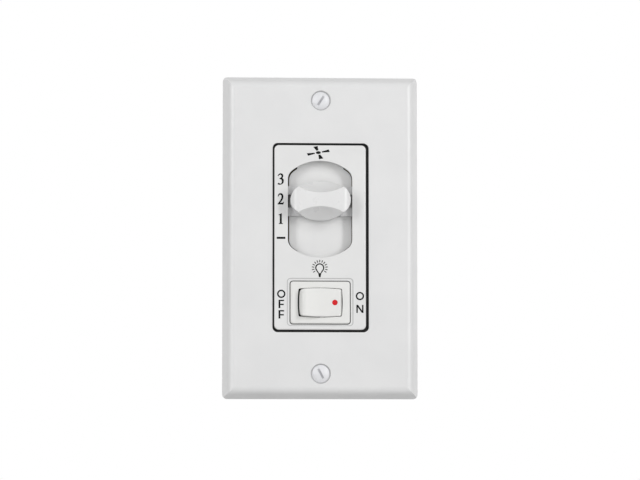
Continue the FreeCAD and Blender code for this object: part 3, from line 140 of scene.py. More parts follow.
def build_moulded_skin():
    """Faint flow clouds, uneven polish and fine mould grain."""
    group, given, result = start_group(
        "moulded_skin",
        {"Tint": COLOUR, "Shade": COLOUR, "Gloss Low": NUMBER, "Gloss High": NUMBER, "Grain": NUMBER},
        {"Color": COLOUR, "Roughness": NUMBER, "Height": NUMBER})
    coords = object_coords(group)
    flow = add_range(group, add_noise(group, coords, scale=70, detail=3), low=0.35, high=0.65)
    feed(group, result["Color"], add_mix(group, flow, given["Tint"], given["Shade"]))
    polish = add_noise(group, coords, scale=240, detail=4)
    feed(group, result["Roughness"],
         add_range(group, polish, low=0.3, high=0.7, start=given["Gloss Low"], end=given["Gloss High"]))
    feed(group, result["Height"], add_noise(group, coords, scale=given["Grain"], detail=2))
    return group


# Painted shade: the near-black colour laid on surfaces that sit deep in gaps and hollows.
GAP_PAINTED_SHADE = (0.004, 0.004, 0.004)
GAP_FADE = 0.3 * MM


def build_deep_gap():
    """Masks of what lies behind a level: outside a rounded frame, inside it, or along its line."""
    measures = ("Middle X", "Middle Z", "Half X", "Half Z", "Corner", "Front Y", "Line Width")
    masks = ("Outside", "Inside", "Line")
    group, given, result = start_group(
        "deep_gap", dict.fromkeys(measures, NUMBER), dict.fromkeys(masks, NUMBER))
    axes = group.nodes.new("ShaderNodeSeparateXYZ")
    feed(group, axes.inputs["Vector"], object_coords(group))
    squares = []
    for axis in "XZ":
        offset = add_math(group, "SUBTRACT", axes.outputs[axis], given["Middle " + axis])
        straight = add_math(group, "SUBTRACT", given["Half " + axis], given["Corner"])
        over = add_math(group, "SUBTRACT", add_math(group, "ABSOLUTE", offset), straight)
        squares.append(add_math(group, "POWER", add_math(group, "MAXIMUM", over, 0), 2))
    reach = add_math(group, "SQRT", add_math(group, "ADD", *squares))
    outside = add_math(group, "GREATER_THAN", reach, given["Corner"])
    inside = add_math(group, "SUBTRACT", 1, outside)
    from_line = add_math(group, "ABSOLUTE", add_math(group, "SUBTRACT", reach, given["Corner"]))
    line = add_math(group, "LESS_THAN", from_line, given["Line Width"])
    behind = add_math(group, "SUBTRACT", axes.outputs["Y"], given["Front Y"])
    deep = add_range(group, behind, low=0, high=GAP_FADE)
    for name, mask in (("Outside", outside), ("Inside", inside), ("Line", line)):
        feed(group, result[name], add_math(group, "MULTIPLY", mask, deep))
    return group


def zone(mask, color, middle, half, corner, front, line=0):
    """A mask of deep_gap with its colour. The measures of its frame are in millimetres."""
    frame_sizes = {"Middle_X": middle[0], "Middle_Z": middle[1], "Half_X": half[0], "Half_Z": half[1],
                   "Corner": corner, "Front_Y": front, "Line_Width": line}
    return mask, color, {name: size * MM for name, size in frame_sizes.items()}


moulded_skin = build_moulded_skin()
deep_gap = build_deep_gap()


def moulded_plastic(name, tint, shade, gloss, grain, relief, zones=()):
    material, tree, surface = start_material(name)
    skin = place_group(tree, moulded_skin, Tint=tint, Shade=shade,
                       Gloss_Low=gloss[0], Gloss_High=gloss[1], Grain=grain)
    color = skin["Color"]
    for mask, zone_color, frame_sizes in zones:
        color = add_mix(tree, place_group(tree, deep_gap, **frame_sizes)[mask], color, zone_color)
    feed(tree, surface["Base Color"], color)
    feed(tree, surface["Roughness"], skin["Roughness"])
    feed(tree, surface["IOR"], 1.5)
    add_bump(tree, surface, skin["Height"], strength=0.25, distance=relief)
    return material


def dress(material, *names):
    for name in names:
        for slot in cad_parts[name].material_slots:
            slot.material = material


insert_low, insert_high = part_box("front_insert")
switch_low, switch_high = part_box("switch_frame")
insert_x = (insert_low.x + insert_high.x) / 2 / MM
switch_z = (switch_low.z + switch_high.z) / 2 / MM
OPENING_Z, RECESS_Z = -0.3, -23.2
# Grey painted shade for a line along the step of the switch recess.
STEP_PAINTED_SHADE = (0.5, 0.5, 0.5)
# Painted shade: the insert's skirt behind the plate's face and the walls of the switch recess are coloured
# near-black where they lie deep in the gaps.
insert_shade_zones = (
    zone("Outside", GAP_PAINTED_SHADE, middle=(insert_x, OPENING_Z), half=(15.9, 32.5), corner=1.5, front=-6.45),
    zone("Inside", GAP_PAINTED_SHADE, middle=(insert_x, switch_z), half=(10.9, 7.85), corner=1.2, front=-6.3),
    zone("Line", STEP_PAINTED_SHADE, middle=(insert_x, RECESS_Z), half=(11.6, 8.35), corner=1.2, front=-7.0,
         line=0.13),
)
insert_white = moulded_plastic("insert_white", tint=(0.765, 0.765, 0.76), shade=(0.74, 0.74, 0.738),
                               gloss=(0.34, 0.44), grain=2600, relief=0.01 * MM, zones=insert_shade_zones)
dress(insert_white, "front_insert", "slide_track")


# Printing on the insert: the fan sign, the speed figures, the lamp sign and the words
# OFF and ON. Black pad-print ink, a few hundredths of a millimetre thick, laid on the
# insert's face before the knob and the light switch go in.
INK_THICKNESS = 0.03 * MM


def lay_colour(tree, surface, pattern, spread, tint, shade):
    feed(tree, surface["Base Color"], add_mix(tree, add_range(tree, pattern, *spread), tint, shade))


def lay_sheen(tree, surface, pattern, gloss):
    feed(tree, surface["Roughness"], add_range(tree, pattern, 0.3, 0.7, *gloss))


ink, ink_tree, ink_surface = start_material("print_ink")
ink_coords = object_coords(ink_tree)
lay_colour(ink_tree, ink_surface, add_noise(ink_tree, ink_coords, scale=2200, detail=4, roughness=0.7),
           spread=(0.45, 0.8), tint=(0.004, 0.004, 0.0045), shade=(0.011, 0.011, 0.012))
lay_sheen(ink_tree, ink_surface, add_noise(ink_tree, ink_coords, scale=900, detail=3), gloss=(0.42, 0.6))
feed(ink_tree, ink_surface["Specular IOR Level"], 0.12)


def add_outline(curve, path, shift):
    """A closed line of (x, y) corners and (x1, y1, x2, y2, x, y) curves, in millimetres."""
    spline = curve.splines.new("BEZIER")
    spline.bezier_points.add(len(path) - 1)
    spline.use_cyclic_u = True
    place = Vector((*shift, 0))
    for index, step in enumerate(path):
        point = spline.bezier_points[index]
        after = path[(index + 1) % len(path)]
        point.handle_left_type = "FREE"
        point.handle_right_type = "FREE"
        anchor = Vector((*step[-2:], 0))
        point.co = (anchor + place) * MM
        point.handle_left = (Vector((*step[2:4], 0)) + place) * MM if len(step) == 6 else point.co
        point.handle_right = (Vector((*after[0:2], 0)) + place) * MM if len(after) == 6 else point.co


def print_mark(name, marks, swell=0):
    """Prints (outlines, (x, z)) marks, measured from the middle of the insert, as one piece."""
    curve = bpy.data.curves.new(name, "CURVE")
    curve.dimensions = "2D"
    curve.fill_mode = "BOTH"
    curve.resolution_u = 8
    curve.extrude = INK_THICKNESS / 2
    curve.offset = swell * MM
    for outlines, shift in marks:
        for path in outlines:
            add_outline(curve, path, shift)
    mark = bpy.data.objects.new(name, curve)
    bpy.context.scene.collection.objects.link(mark)
    bpy.ops.object.select_all(action="DESELECT")
    mark.select_set(True)
    bpy.context.view_layer.objects.active = mark
    bpy.ops.object.convert(target="MESH")
    mark = bpy.context.view_layer.objects.active
    mark.rotation_euler = (math.pi / 2, 0, 0)
    mark.location = (insert_x * MM, insert_low.y - INK_THICKNESS / 2, 0)
    bpy.ops.object.transform_apply(location=True, rotation=True, scale=True)
    bpy.ops.object.mode_set(mode="EDIT")
    bpy.ops.mesh.select_all(action="SELECT")
    bpy.ops.mesh.remove_doubles(threshold=1e-6)
    bpy.ops.mesh.normals_make_consistent(inside=False)
    bpy.ops.object.mode_set(mode="OBJECT")
    mark.data.materials.clear()
    mark.data.materials.append(ink)
    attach(mark, "base")


figure_one = [[
    (-0.60, -1.80), (0.64, -1.80), (0.64, -1.68),
    (0.38, -1.66, 0.28, -1.60, 0.28, -1.34), (0.28, 1.82), (0.18, 1.82), (-0.66, 1.42), (-0.62, 1.30),
    (-0.38, 1.38, -0.28, 1.36, -0.28, 1.08), (-0.28, -1.34), (-0.28, -1.60, -0.38, -1.66, -0.60, -1.68),
]]
figure_two = [[
    (-1.03, -1.92), (0.78, -1.92), (1.05, -1.14), (0.94, -1.14),
    (0.80, -1.40, 0.66, -1.46, 0.40, -1.46), (-0.42, -1.46), (0.10, -0.92, 0.84, -0.18, 0.84, 0.82),
    (0.84, 1.52, 0.42, 1.94, -0.08, 1.94), (-0.58, 1.94, -0.92, 1.56, -1.00, 0.92), (-0.88, 0.90),
    (-0.76, 1.30, -0.54, 1.54, -0.24, 1.54), (0.10, 1.54, 0.32, 1.22, 0.32, 0.76),
    (0.32, 0.02, -0.30, -0.86, -1.03, -1.78),
]]
figure_three = [[
    (-0.92, 1.10), (-0.72, 1.42, -0.46, 1.62, -0.20, 1.62), (0.10, 1.62, 0.30, 1.38, 0.30, 1.06),
    (0.30, 0.60, -0.04, 0.32, -0.44, 0.20), (-0.44, 0.08), (0.14, 0.04, 0.44, -0.30, 0.44, -0.82),
    (0.44, -1.38, 0.16, -1.74, -0.22, -1.74), (-0.44, -1.74, -0.54, -1.44, -0.76, -1.44),
    (-0.92, -1.44, -1.02, -1.54, -1.02, -1.68), (-1.02, -1.88, -0.74, -1.96, -0.44, -1.96),
    (0.42, -1.96, 0.98, -1.46, 0.98, -0.66), (0.98, -0.20, 0.76, 0.18, 0.40, 0.34),
    (0.66, 0.52, 0.80, 0.78, 0.80, 1.12), (0.80, 1.62, 0.42, 1.96, -0.06, 1.96),
    (-0.46, 1.96, -0.84, 1.66, -1.02, 1.16),
]]
DASH_X, DASH_Z = 1.45, 0.28
dash = [[(-DASH_X, -DASH_Z), (DASH_X, -DASH_Z), (DASH_X, DASH_Z), (-DASH_X, DASH_Z)]]
FIGURE_X, FIGURE_SWELL = -13.92, 0.075
print_mark("speed_figures", [
    (figure_three, (FIGURE_X, 20.27)), (figure_two, (FIGURE_X, 13.25)),
    (figure_one, (FIGURE_X, 6.2)), (dash, (FIGURE_X + 0.1, -0.58)),
], FIGURE_SWELL)


def ring(radius, sides=48):
    turns = [2 * math.pi * index / sides for index in range(sides)]
    return [(radius * math.cos(turn), radius * math.sin(turn)) for turn in turns]


BLADE_LONG = Vector((3.86, 0.70))
BLADE_SHORT = Vector((-1.0, 2.2))
BLADE_ROOT, BLADE_TIP = 0.33, 1.0
ROOT_HALF, TIP_HALF = 0.085, 0.205
HUB = 0.22
fan_sign = [[(BLADE_LONG * HUB * right + BLADE_SHORT * HUB * up)[:] for right, up in ring(1, sides=24)]]
for along, across in ((BLADE_LONG, BLADE_SHORT), (BLADE_SHORT, -BLADE_LONG),
                      (-BLADE_LONG, -BLADE_SHORT), (-BLADE_SHORT, BLADE_LONG)):
    fan_sign.append([(along * reach + across * half)[:] for reach, half in (
        (BLADE_ROOT, -ROOT_HALF), (BLADE_TIP, -TIP_HALF), (BLADE_TIP, TIP_HALF), (BLADE_ROOT, ROOT_HALF))])
print_mark("fan_sign", [(fan_sign, (-0.65, 29.72))])

BULB, BULB_LINE = 1.6, 0.42
NECK_HALF, NECK_Z, NECK_GAP = 0.45, -1.85, 0.02
CAP_TOP_HALF, CAP_FOOT_HALF, CAP_FOOT_Z = NECK_HALF * 1.2, NECK_HALF * 0.65, -3.3
LAMP_START, LAMP_SWEEP, ARC_POINTS = -35, 250, 33
RAYS, RAY_FROM, RAY_TO, RAY_HALF = 13, 1.96, 2.82, 0.15


def lamp_turns(count):
    """Even turns round the bulb, from one side of its neck to the other."""
    return [math.radians(LAMP_START + LAMP_SWEEP * index / (count - 1)) for index in range(count)]


def bulb_line(radius, neck):
    arc = [(radius * math.cos(turn), radius * math.sin(turn)) for turn in lamp_turns(ARC_POINTS)]
    return arc + [(-neck, NECK_Z), (neck, NECK_Z)]


lamp_sign = [bulb_line(BULB, NECK_HALF + BULB_LINE / 2),
             bulb_line(BULB - BULB_LINE, NECK_HALF - BULB_LINE / 2),
             [(-CAP_TOP_HALF, NECK_Z - NECK_GAP), (CAP_TOP_HALF, NECK_Z - NECK_GAP),
              (CAP_FOOT_HALF, CAP_FOOT_Z), (-CAP_FOOT_HALF, CAP_FOOT_Z)]]
for turn in lamp_turns(RAYS):
    out = Vector((math.cos(turn), math.sin(turn)))
    side = Vector((-out.y, out.x)) * RAY_HALF
    lamp_sign.append([(out * RAY_FROM - side)[:], (out * RAY_TO - side)[:],
                      (out * RAY_TO + side)[:], (out * RAY_FROM + side)[:]])
print_mark("lamp_sign", [(lamp_sign, (-0.15, -11.13))])

O_RADIUS, O_LINE = 1.47, 0.52
letter_o = [ring(O_RADIUS), ring(O_RADIUS - O_LINE)]
F_LEFT, F_LINE = -0.95, 0.62
F_STEM = F_LEFT + F_LINE
letter_f = [[(F_LEFT, -1.48), (F_STEM, -1.48), (F_STEM, -0.4), (0.9, -0.4), (0.9, 0.08),
             (F_STEM, 0.08), (F_STEM, 1.0), (1.0, 1.0), (1.0, 1.48), (F_LEFT, 1.48)]]
letter_n = [[(-1.25, -1.42), (-0.76, -1.42), (-0.76, 0.62), (0.66, -1.42), (1.25, -1.42),
             (1.25, 1.42), (0.76, 1.42), (0.76, -0.62), (-0.66, 1.42), (-1.25, 1.42)]]
OFF_X, ON_X = -13.73, 14.03
print_mark("off_word", [
    (letter_o, (OFF_X, -20.36)), (letter_f, (OFF_X, -23.93)), (letter_f, (OFF_X, -27.58)),
])
print_mark("on_word", [(letter_o, (ON_X, -21.06)), (letter_n, (ON_X, -25.59))])


# Slider knob: the waisted grip that is pushed up and down the slot, on a guide strip that
# runs behind the slot's edge, where its colour holds painted shade. One white ABS moulding,
# its legs hooked through the track, polished by the mould a little more than the insert.
# Grey painted shade on the guide strip, where it lies behind the slot's edge.
STRIP_PAINTED_SHADE = (0.6, 0.6, 0.603)
strip_shade_zone = zone("Inside", STRIP_PAINTED_SHADE, middle=(0, 0), half=(20, 40), corner=0.1, front=-5.7)
knob_white = moulded_plastic("knob_white", tint=(0.775, 0.775, 0.772), shade=(0.752, 0.752, 0.75),
                             gloss=(0.26, 0.34), grain=3200, relief=0.006 * MM, zones=[strip_shade_zone])
dress(knob_white, "slider_knob")


# Contact carrier, detent spring and wiper: the black block clipped behind the knob, the
# bent steel leaf that clicks into the track, and the brass leaf that joins the contacts.
METAL_RELIEF = 0.004 * MM
DRAWN_GRAIN = (9000, 9000, 500)


def build_metal_skin():
    """Cloudy plating, uneven polish and fine drawing lines along Z."""
    group, given, result = start_group(
        "metal_skin",
        {"Tint": COLOUR, "Stain": COLOUR, "Gloss Low": NUMBER, "Gloss High": NUMBER},
        {"Color": COLOUR, "Roughness": NUMBER, "Height": NUMBER})
    coords = object_coords(group)
    clouds = add_noise(group, coords, scale=160, detail=5, roughness=0.6)
    stained = add_range(group, clouds, low=0.35, high=0.7)
    feed(group, result["Color"], add_mix(group, stained, given["Tint"], given["Stain"]))
    polish = add_noise(group, coords, scale=420, detail=5, roughness=0.65)
    feed(group, result["Roughness"],
         add_range(group, polish, low=0.3, high=0.7, start=given["Gloss Low"], end=given["Gloss High"]))
    drawn = group.nodes.new("ShaderNodeMapping")
    drawn.inputs["Scale"].default_value = DRAWN_GRAIN
    feed(group, drawn.inputs["Vector"], coords)
    feed(group, result["Height"], add_noise(group, drawn.outputs["Vector"], scale=1, detail=3))
    return group


metal_skin = build_metal_skin()


def plated_metal(name, tint, stain, gloss):
    material, tree, surface = start_material(name)
    skin = place_group(tree, metal_skin, Tint=tint, Stain=stain, Gloss_Low=gloss[0], Gloss_High=gloss[1])
    feed(tree, surface["Base Color"], skin["Color"])
    feed(tree, surface["Roughness"], skin["Roughness"])
    feed(tree, surface["Metallic"], 1)
    add_bump(tree, surface, skin["Height"], strength=0.3, distance=METAL_RELIEF)
    return material


black_plastic = moulded_plastic("black_plastic", tint=(0.022, 0.022, 0.023), shade=(0.032, 0.032, 0.033),
                                gloss=(0.38, 0.52), grain=1500, relief=0.03 * MM)
spring_steel = plated_metal("spring_steel", tint=(0.52, 0.53, 0.55), stain=(0.42, 0.42, 0.43),
                            gloss=(0.2, 0.34))
contact_brass = plated_metal("contact_brass", tint=(0.74, 0.53, 0.23), stain=(0.62, 0.42, 0.17),
                             gloss=(0.24, 0.4))
dress(black_plastic, "contact_carrier")
dress(spring_steel, "detent_spring")
dress(contact_brass, "wiper_contact")


# Speed board: brown paper-phenolic board with brass contacts riveted to its face, held
# to the insert's bosses by four small zinc-plated screws.
FIBRE_GRAIN = (900, 900, 5200)
board_brown, board_tree, board_surface = start_material("board_brown")
board_coords = object_coords(board_tree)
board_fibres = board_tree.nodes.new("ShaderNodeMapping")
board_fibres.inputs["Scale"].default_value = FIBRE_GRAIN
feed(board_tree, board_fibres.inputs["Vector"], board_coords)
board_streaks = add_noise(board_tree, board_fibres.outputs["Vector"], scale=1, detail=4, roughness=0.6)
lay_colour(board_tree, board_surface, board_streaks,
           spread=(0.35, 0.7), tint=(0.36, 0.22, 0.09), shade=(0.26, 0.145, 0.055))
lay_sheen(board_tree, board_surface, add_noise(board_tree, board_coords, scale=300, detail=3),
          gloss=(0.36, 0.5))
add_bump(board_tree, board_surface, board_streaks, strength=0.2, distance=0.01 * MM)
zinc_steel = plated_metal("zinc_steel", tint=(0.66, 0.67, 0.69), stain=(0.55, 0.555, 0.56),
                          gloss=(0.28, 0.46))
dress(board_brown, "speed_board")
dress(contact_brass, "speed_contacts", "common_bus")
dress(zinc_steel, "board_screws")


# Motor capacitors and bleed resistors: two potted yellow cases and two tan lacquered
# resistors with colour bands, soldered to the back of the board.
capacitor_yellow = moulded_plastic("capacitor_yellow", tint=(0.58, 0.47, 0.06), shade=(0.52, 0.41, 0.05),
                                   gloss=(0.3, 0.42), grain=1800, relief=0.01 * MM)
dress(capacitor_yellow, "large_capacitor", "small_capacitor")

LACQUER = (0.56, 0.40, 0.22, 1)
BAND_WIDTH = 0.055
BANDS = ((0.30, (0.30, 0.08, 0.02, 1)), (0.42, (0.02, 0.02, 0.02, 1)),
         (0.54, (0.55, 0.30, 0.02, 1)), (0.72, (0.5, 0.36, 0.1, 1)))
resistor_low, resistor_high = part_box("bleed_resistors")
resistor_tan, resistor_tree, resistor_surface = start_material("resistor_tan")
resistor_coords = object_coords(resistor_tree)
resistor_axes = resistor_tree.nodes.new("ShaderNodeSeparateXYZ")
feed(resistor_tree, resistor_axes.inputs["Vector"], resistor_coords)
band_ramp = resistor_tree.nodes.new("ShaderNodeValToRGB")
band_ramp.color_ramp.interpolation = "CONSTANT"
band_stops = band_ramp.color_ramp.elements
band_stops[1].position = 0.999
for stop in band_stops:
    stop.color = LACQUER
for place, band_color in BANDS:
    band_stops.new(place).color = band_color
    band_stops.new(place + BAND_WIDTH).color = LACQUER
feed(resistor_tree, band_ramp.inputs["Fac"],
     add_range(resistor_tree, resistor_axes.outputs["X"], resistor_low.x, resistor_high.x))
lay_colour(resistor_tree, resistor_surface, add_noise(resistor_tree, resistor_coords, scale=900, detail=4),
           spread=(0.4, 0.9), tint=band_ramp.outputs["Color"], shade=(0.30, 0.2, 0.1))
feed(resistor_tree, resistor_surface["Roughness"], 0.35)
dress(resistor_tan, "bleed_resistors")


# Light switch: a snap-in rocker in warm white nylon. Its brass lever tips on the common
# terminal and carries a silver button to the load terminal. Painted shade darkens the gap
# round the rocker, where the frame and the rocker's raised end run down into the switch.
# Near-black painted shade in the frame's mouth and on the rocker's raised end, where they lie deep in the
# switch.
mouth_shade_zone = zone("Inside", GAP_PAINTED_SHADE, middle=(insert_x - 1.4, switch_z), half=(7.0, 5.7),
                  corner=0.8, front=-6.8)
raised_end_shade_zone = zone("Inside", GAP_PAINTED_SHADE, middle=(insert_x - 4.4, switch_z), half=(4.4, 5.7),
                   corner=0.1, front=-6.9)


def switch_nylon(name, painted_shade_zone):
    return moulded_plastic(name, tint=(0.785, 0.785, 0.768), shade=(0.765, 0.764, 0.745),
                           gloss=(0.42, 0.5), grain=3600, relief=0.005 * MM, zones=[painted_shade_zone])


frame_white = switch_nylon("frame_white", mouth_shade_zone)
rocker_white = switch_nylon("rocker_white", raised_end_shade_zone)
contact_silver = plated_metal("contact_silver", tint=(0.86, 0.85, 0.82), stain=(0.74, 0.72, 0.68),
                              gloss=(0.2, 0.3))
dress(frame_white, "switch_frame")
dress(rocker_white, "rocker_button")
dress(black_plastic, "rocker_plunger")
dress(spring_steel, "rocker_spring")
dress(contact_brass, "contact_lever", "common_terminal", "load_terminal")
dress(contact_silver, "lever_contact_tip")


# Red mark: a drop of enamel paint in the shallow round hollow at the rocker's ON end,
# domed by its own surface tension.
PAINT_RADIUS = 0.97 * MM
PAINT_EDGE, PAINT_DOME = 0.08 * MM, 0.05 * MM
DOME_STEPS = ((0.5, 0.93), (0.3, 0.85), (0.15, 0.7), (0.05, 0.4))
ROCKER_TILT = math.radians(11)
paint_seat = Vector((4.8755, -7.1526, switch_z)) * MM
paint_out = Vector((math.sin(ROCKER_TILT), -math.cos(ROCKER_TILT), 0))

paint_red, paint_tree, paint_surface = start_material("paint_red")
paint_coords = object_coords(paint_tree)
lay_colour(paint_tree, paint_surface, add_noise(paint_tree, paint_coords, scale=900, detail=3),
           spread=(0.3, 0.7), tint=(0.66, 0.005, 0.011), shade=(0.60, 0.004, 0.009))
lay_sheen(paint_tree, paint_surface, add_noise(paint_tree, paint_coords, scale=1500, detail=2),
          gloss=(0.42, 0.52))
feed(paint_tree, paint_surface["Specular IOR Level"], 0.25)

bpy.ops.object.select_all(action="DESELECT")
bpy.ops.mesh.primitive_circle_add(vertices=48, radius=PAINT_RADIUS, fill_type="NGON")
red_mark = bpy.context.active_object
red_mark.name = "red_mark"
bpy.ops.object.mode_set(mode="EDIT")
bpy.ops.mesh.select_all(action="SELECT")
bpy.ops.mesh.extrude_region_move(TRANSFORM_OT_translate={"value": (0, 0, PAINT_EDGE)})
for rise, shrink in DOME_STEPS:
    bpy.ops.mesh.extrude_region_move(TRANSFORM_OT_translate={"value": (0, 0, PAINT_DOME * rise)})
    bpy.ops.transform.resize(value=(shrink, shrink, 1))
bpy.ops.mesh.select_all(action="SELECT")
bpy.ops.mesh.normals_make_consistent(inside=False)
bpy.ops.object.mode_set(mode="OBJECT")
red_mark.rotation_euler = paint_out.to_track_quat("Z", "Y").to_euler()
red_mark.location = paint_seat
bpy.ops.object.transform_apply(location=True, rotation=True, scale=True)
bpy.ops.object.shade_smooth_by_angle(angle=math.radians(40))
red_mark.data.materials.append(paint_red)
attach(red_mark, "rocker")


# Rear housing and its screws: the deep black thermoset cup behind the strap, held to the
# insert by four long screws in counterbored posts.
dress(black_plastic, "rear_housing")
dress(zinc_steel, "housing_screws")


# Mounting strap and its fixings: the stamped, zinc-plated steel yoke, the fibre leaves
# that keep the box screws in it, and the green ground screw.
fibre_red, fibre_tree, fibre_surface = start_material("fibre_red")
fibre_coords = object_coords(fibre_tree)
fibre_flecks = add_noise(fibre_tree, fibre_coords, scale=1400, detail=5, roughness=0.7)
lay_colour(fibre_tree, fibre_surface, fibre_flecks,
           spread=(0.3, 0.7), tint=(0.26, 0.085, 0.05), shade=(0.17, 0.05, 0.03))
feed(fibre_tree, fibre_surface["Roughness"], 0.7)
add_bump(fibre_tree, fibre_surface, add_noise(fibre_tree, fibre_coords, scale=4200, detail=3),
         strength=0.3, distance=0.03 * MM)
green_zinc = plated_metal("green_zinc", tint=(0.05, 0.30, 0.11), stain=(0.03, 0.20, 0.07), gloss=(0.3, 0.45))
dress(zinc_steel, "mounting_strap")
dress(fibre_red, "screw_retainers")
dress(green_zinc, "ground_screw")


# Box screws: slotted pan-head machine screws, headed and thread-rolled from steel wire
# and zinc-plated. A short neck under the head lets the fibre leaf hold them captive.
BOX_SCREW_SPACING = 83.34
PAN_RADIUS, PAN_ROUND, PAN_HEIGHT, PAN_STEPS = 3.2, 0.8, 1.9, 6
PAN_SLOT_WIDTH, PAN_SLOT_DEPTH = 1.0, 1.1
BOX_NECK_RADIUS, BOX_NECK_END = 1.45, 3.7
BOX_SHANK_RADIUS, BOX_SHANK_END = 1.4, 23.4
BOX_POINT_RADIUS, BOX_POINT_END = 1.25, 23.9
BOX_CREST, BOX_THREAD = 1.75, (4.2, 23.2)
THREAD_PITCH = 0.794 * MM
THREAD_DEPTH = 0.35
THREAD_SINK = 0.05 * MM
THREAD_SHARE = 0.47
THREAD_STEPS = 32
CUTTER_LENGTH = 10


def turn_blank(rings):
    """A turned blank along Z: (distance, radius) rings in millimetres, closed at both ends."""
    bpy.ops.object.select_all(action="DESELECT")
    bpy.ops.mesh.primitive_circle_add(vertices=40, radius=rings[0][1] * MM, fill_type="NGON")
    bpy.ops.object.mode_set(mode="EDIT")
    bpy.ops.mesh.select_all(action="SELECT")
    for (here, wide), (there, next_wide) in zip(rings, rings[1:]):
        bpy.ops.mesh.extrude_region_move(TRANSFORM_OT_translate={"value": (0, 0, (there - here) * MM)})
        bpy.ops.transform.resize(value=(next_wide / wide, next_wide / wide, 1))
    bpy.ops.mesh.select_all(action="SELECT")
    bpy.ops.mesh.fill_holes(sides=0)
    bpy.ops.mesh.normals_make_consistent(inside=False)
    bpy.ops.object.mode_set(mode="OBJECT")
    return bpy.context.active_object


def cut_slot(blank, width, depth, angle):
    """Cuts the driver slot across the head; the angle is seen from the front."""
    bpy.ops.object.select_all(action="DESELECT")
    bpy.ops.mesh.primitive_cube_add(size=1, rotation=(0, 0, -math.radians(angle)),
                                    scale=(CUTTER_LENGTH * MM, width * MM, 2 * depth * MM))
    cutter = bpy.context.active_object
    bpy.context.view_layer.objects.active = blank
    slot_cut = blank.modifiers.new("slot_cut", "BOOLEAN")
    slot_cut.operation = "DIFFERENCE"
    slot_cut.object = cutter
    bpy.ops.object.modifier_apply(modifier=slot_cut.name)
    bpy.data.objects.remove(cutter)


def roll_thread(crest, first, last):
    """A ridge of triangular section wound round the shank between two distances, in millimetres."""
    bpy.ops.object.select_all(action="DESELECT")
    bpy.ops.mesh.primitive_circle_add(vertices=3, radius=1, fill_type="NOTHING", rotation=(0, math.pi / 2, 0))
    ridge = bpy.context.active_object
    bpy.ops.object.transform_apply(rotation=True)
    tall = (THREAD_DEPTH * MM + THREAD_SINK) / 1.5
    ridge.scale = (1, tall, THREAD_PITCH * THREAD_SHARE / math.cos(math.radians(30)))
    ridge.location = (0, crest * MM - tall, first * MM)
    bpy.ops.object.transform_apply(location=True, scale=True)
    winding = ridge.modifiers.new("winding", "SCREW")
    winding.screw_offset = THREAD_PITCH
    winding.iterations = int((last - first) * MM / THREAD_PITCH)
    winding.steps = winding.render_steps = THREAD_STEPS
    bpy.ops.object.modifier_apply(modifier=winding.name)
    bpy.ops.object.mode_set(mode="EDIT")
    bpy.ops.mesh.select_all(action="SELECT")
    bpy.ops.mesh.fill_holes(sides=4)
    bpy.ops.mesh.normals_make_consistent(inside=False)
    bpy.ops.object.mode_set(mode="OBJECT")
    return ridge


def copy_piece(source):
    twin = source.copy()
    twin.data = source.data.copy()
    bpy.context.scene.collection.objects.link(twin)
    return twin


def join_screws(name, screws, material, node):
    """Makes one piece of (blank, thread, place) screws that stand for a node."""
    for blank, thread, place in screws:
        bpy.ops.object.select_all(action="DESELECT")
        for half in (blank, thread):
            half.rotation_euler = (-math.pi / 2, 0, 0)
            half.location = Vector(place) * MM
            half.select_set(True)
        bpy.ops.object.transform_apply(location=True, rotation=True)
    bpy.ops.object.select_all(action="DESELECT")
    for blank, thread, _ in screws:
        blank.select_set(True)
        thread.select_set(True)
    bpy.context.view_layer.objects.active = screws[0][0]
    bpy.ops.object.join()
    piece = bpy.context.active_object
    piece.name = name
    bpy.ops.object.shade_smooth_by_angle(angle=math.radians(35))
    piece.data.materials.clear()
    piece.data.materials.append(material)
    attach(piece, "base")
    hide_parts(node)


pan_turns = [math.radians(90 * step / PAN_STEPS) for step in range(PAN_STEPS + 1)]
pan_rings = [(PAN_ROUND * (1 - math.cos(turn)), PAN_RADIUS - PAN_ROUND * (1 - math.sin(turn)))
             for turn in pan_turns]
pan_rings += [(PAN_HEIGHT, PAN_RADIUS), (PAN_HEIGHT, BOX_NECK_RADIUS),
              (BOX_NECK_END, BOX_NECK_RADIUS), (BOX_NECK_END, BOX_SHANK_RADIUS),
              (BOX_SHANK_END, BOX_SHANK_RADIUS), (BOX_POINT_END, BOX_POINT_RADIUS)]
box_screw_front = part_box("box_screws")[0].y / MM
upper_pan = turn_blank(pan_rings)
cut_slot(upper_pan, PAN_SLOT_WIDTH, PAN_SLOT_DEPTH, 0)
upper_box_thread = roll_thread(BOX_CREST, *BOX_THREAD)
join_screws("threaded_box_screws", [
    (upper_pan, upper_box_thread, (0, box_screw_front, BOX_SCREW_SPACING / 2)),
    (copy_piece(upper_pan), copy_piece(upper_box_thread), (0, box_screw_front, -BOX_SCREW_SPACING / 2)),
], zinc_steel, "box_screws")


# Wall plate: the white cover with sloped sides and a round shoulder, moulded in urea or
# ABS with a smooth satin skin. It is open in the middle for the insert, and two screws
# hold it to the strap.
PLATE_SCREW_SPACING = 96.84
# Painted shade: a grey ring round each countersink, and near-black on the walls of the opening round the
# insert.
RING_PAINTED_SHADE = (0.45, 0.45, 0.455)
plate_screw_places = (PLATE_SCREW_SPACING / 2, -PLATE_SCREW_SPACING / 2)
plate_shade_zones = [zone("Inside", GAP_PAINTED_SHADE, middle=(-0.1, OPENING_Z), half=(16.95, 33.52),
                    corner=1.8, front=-5.9)]
for screw_z in plate_screw_places:
    plate_shade_zones.append(zone("Line", RING_PAINTED_SHADE, middle=(0, screw_z), half=(3.3, 3.3), corner=3.3,
                            front=-7.0, line=0.24))
plate_white = moulded_plastic("plate_white", tint=(0.765, 0.765, 0.765), shade=(0.74, 0.741, 0.742),
                              gloss=(0.32, 0.37), grain=2400, relief=0.003 * MM, zones=plate_shade_zones)
dress(plate_white, "wall_plate")
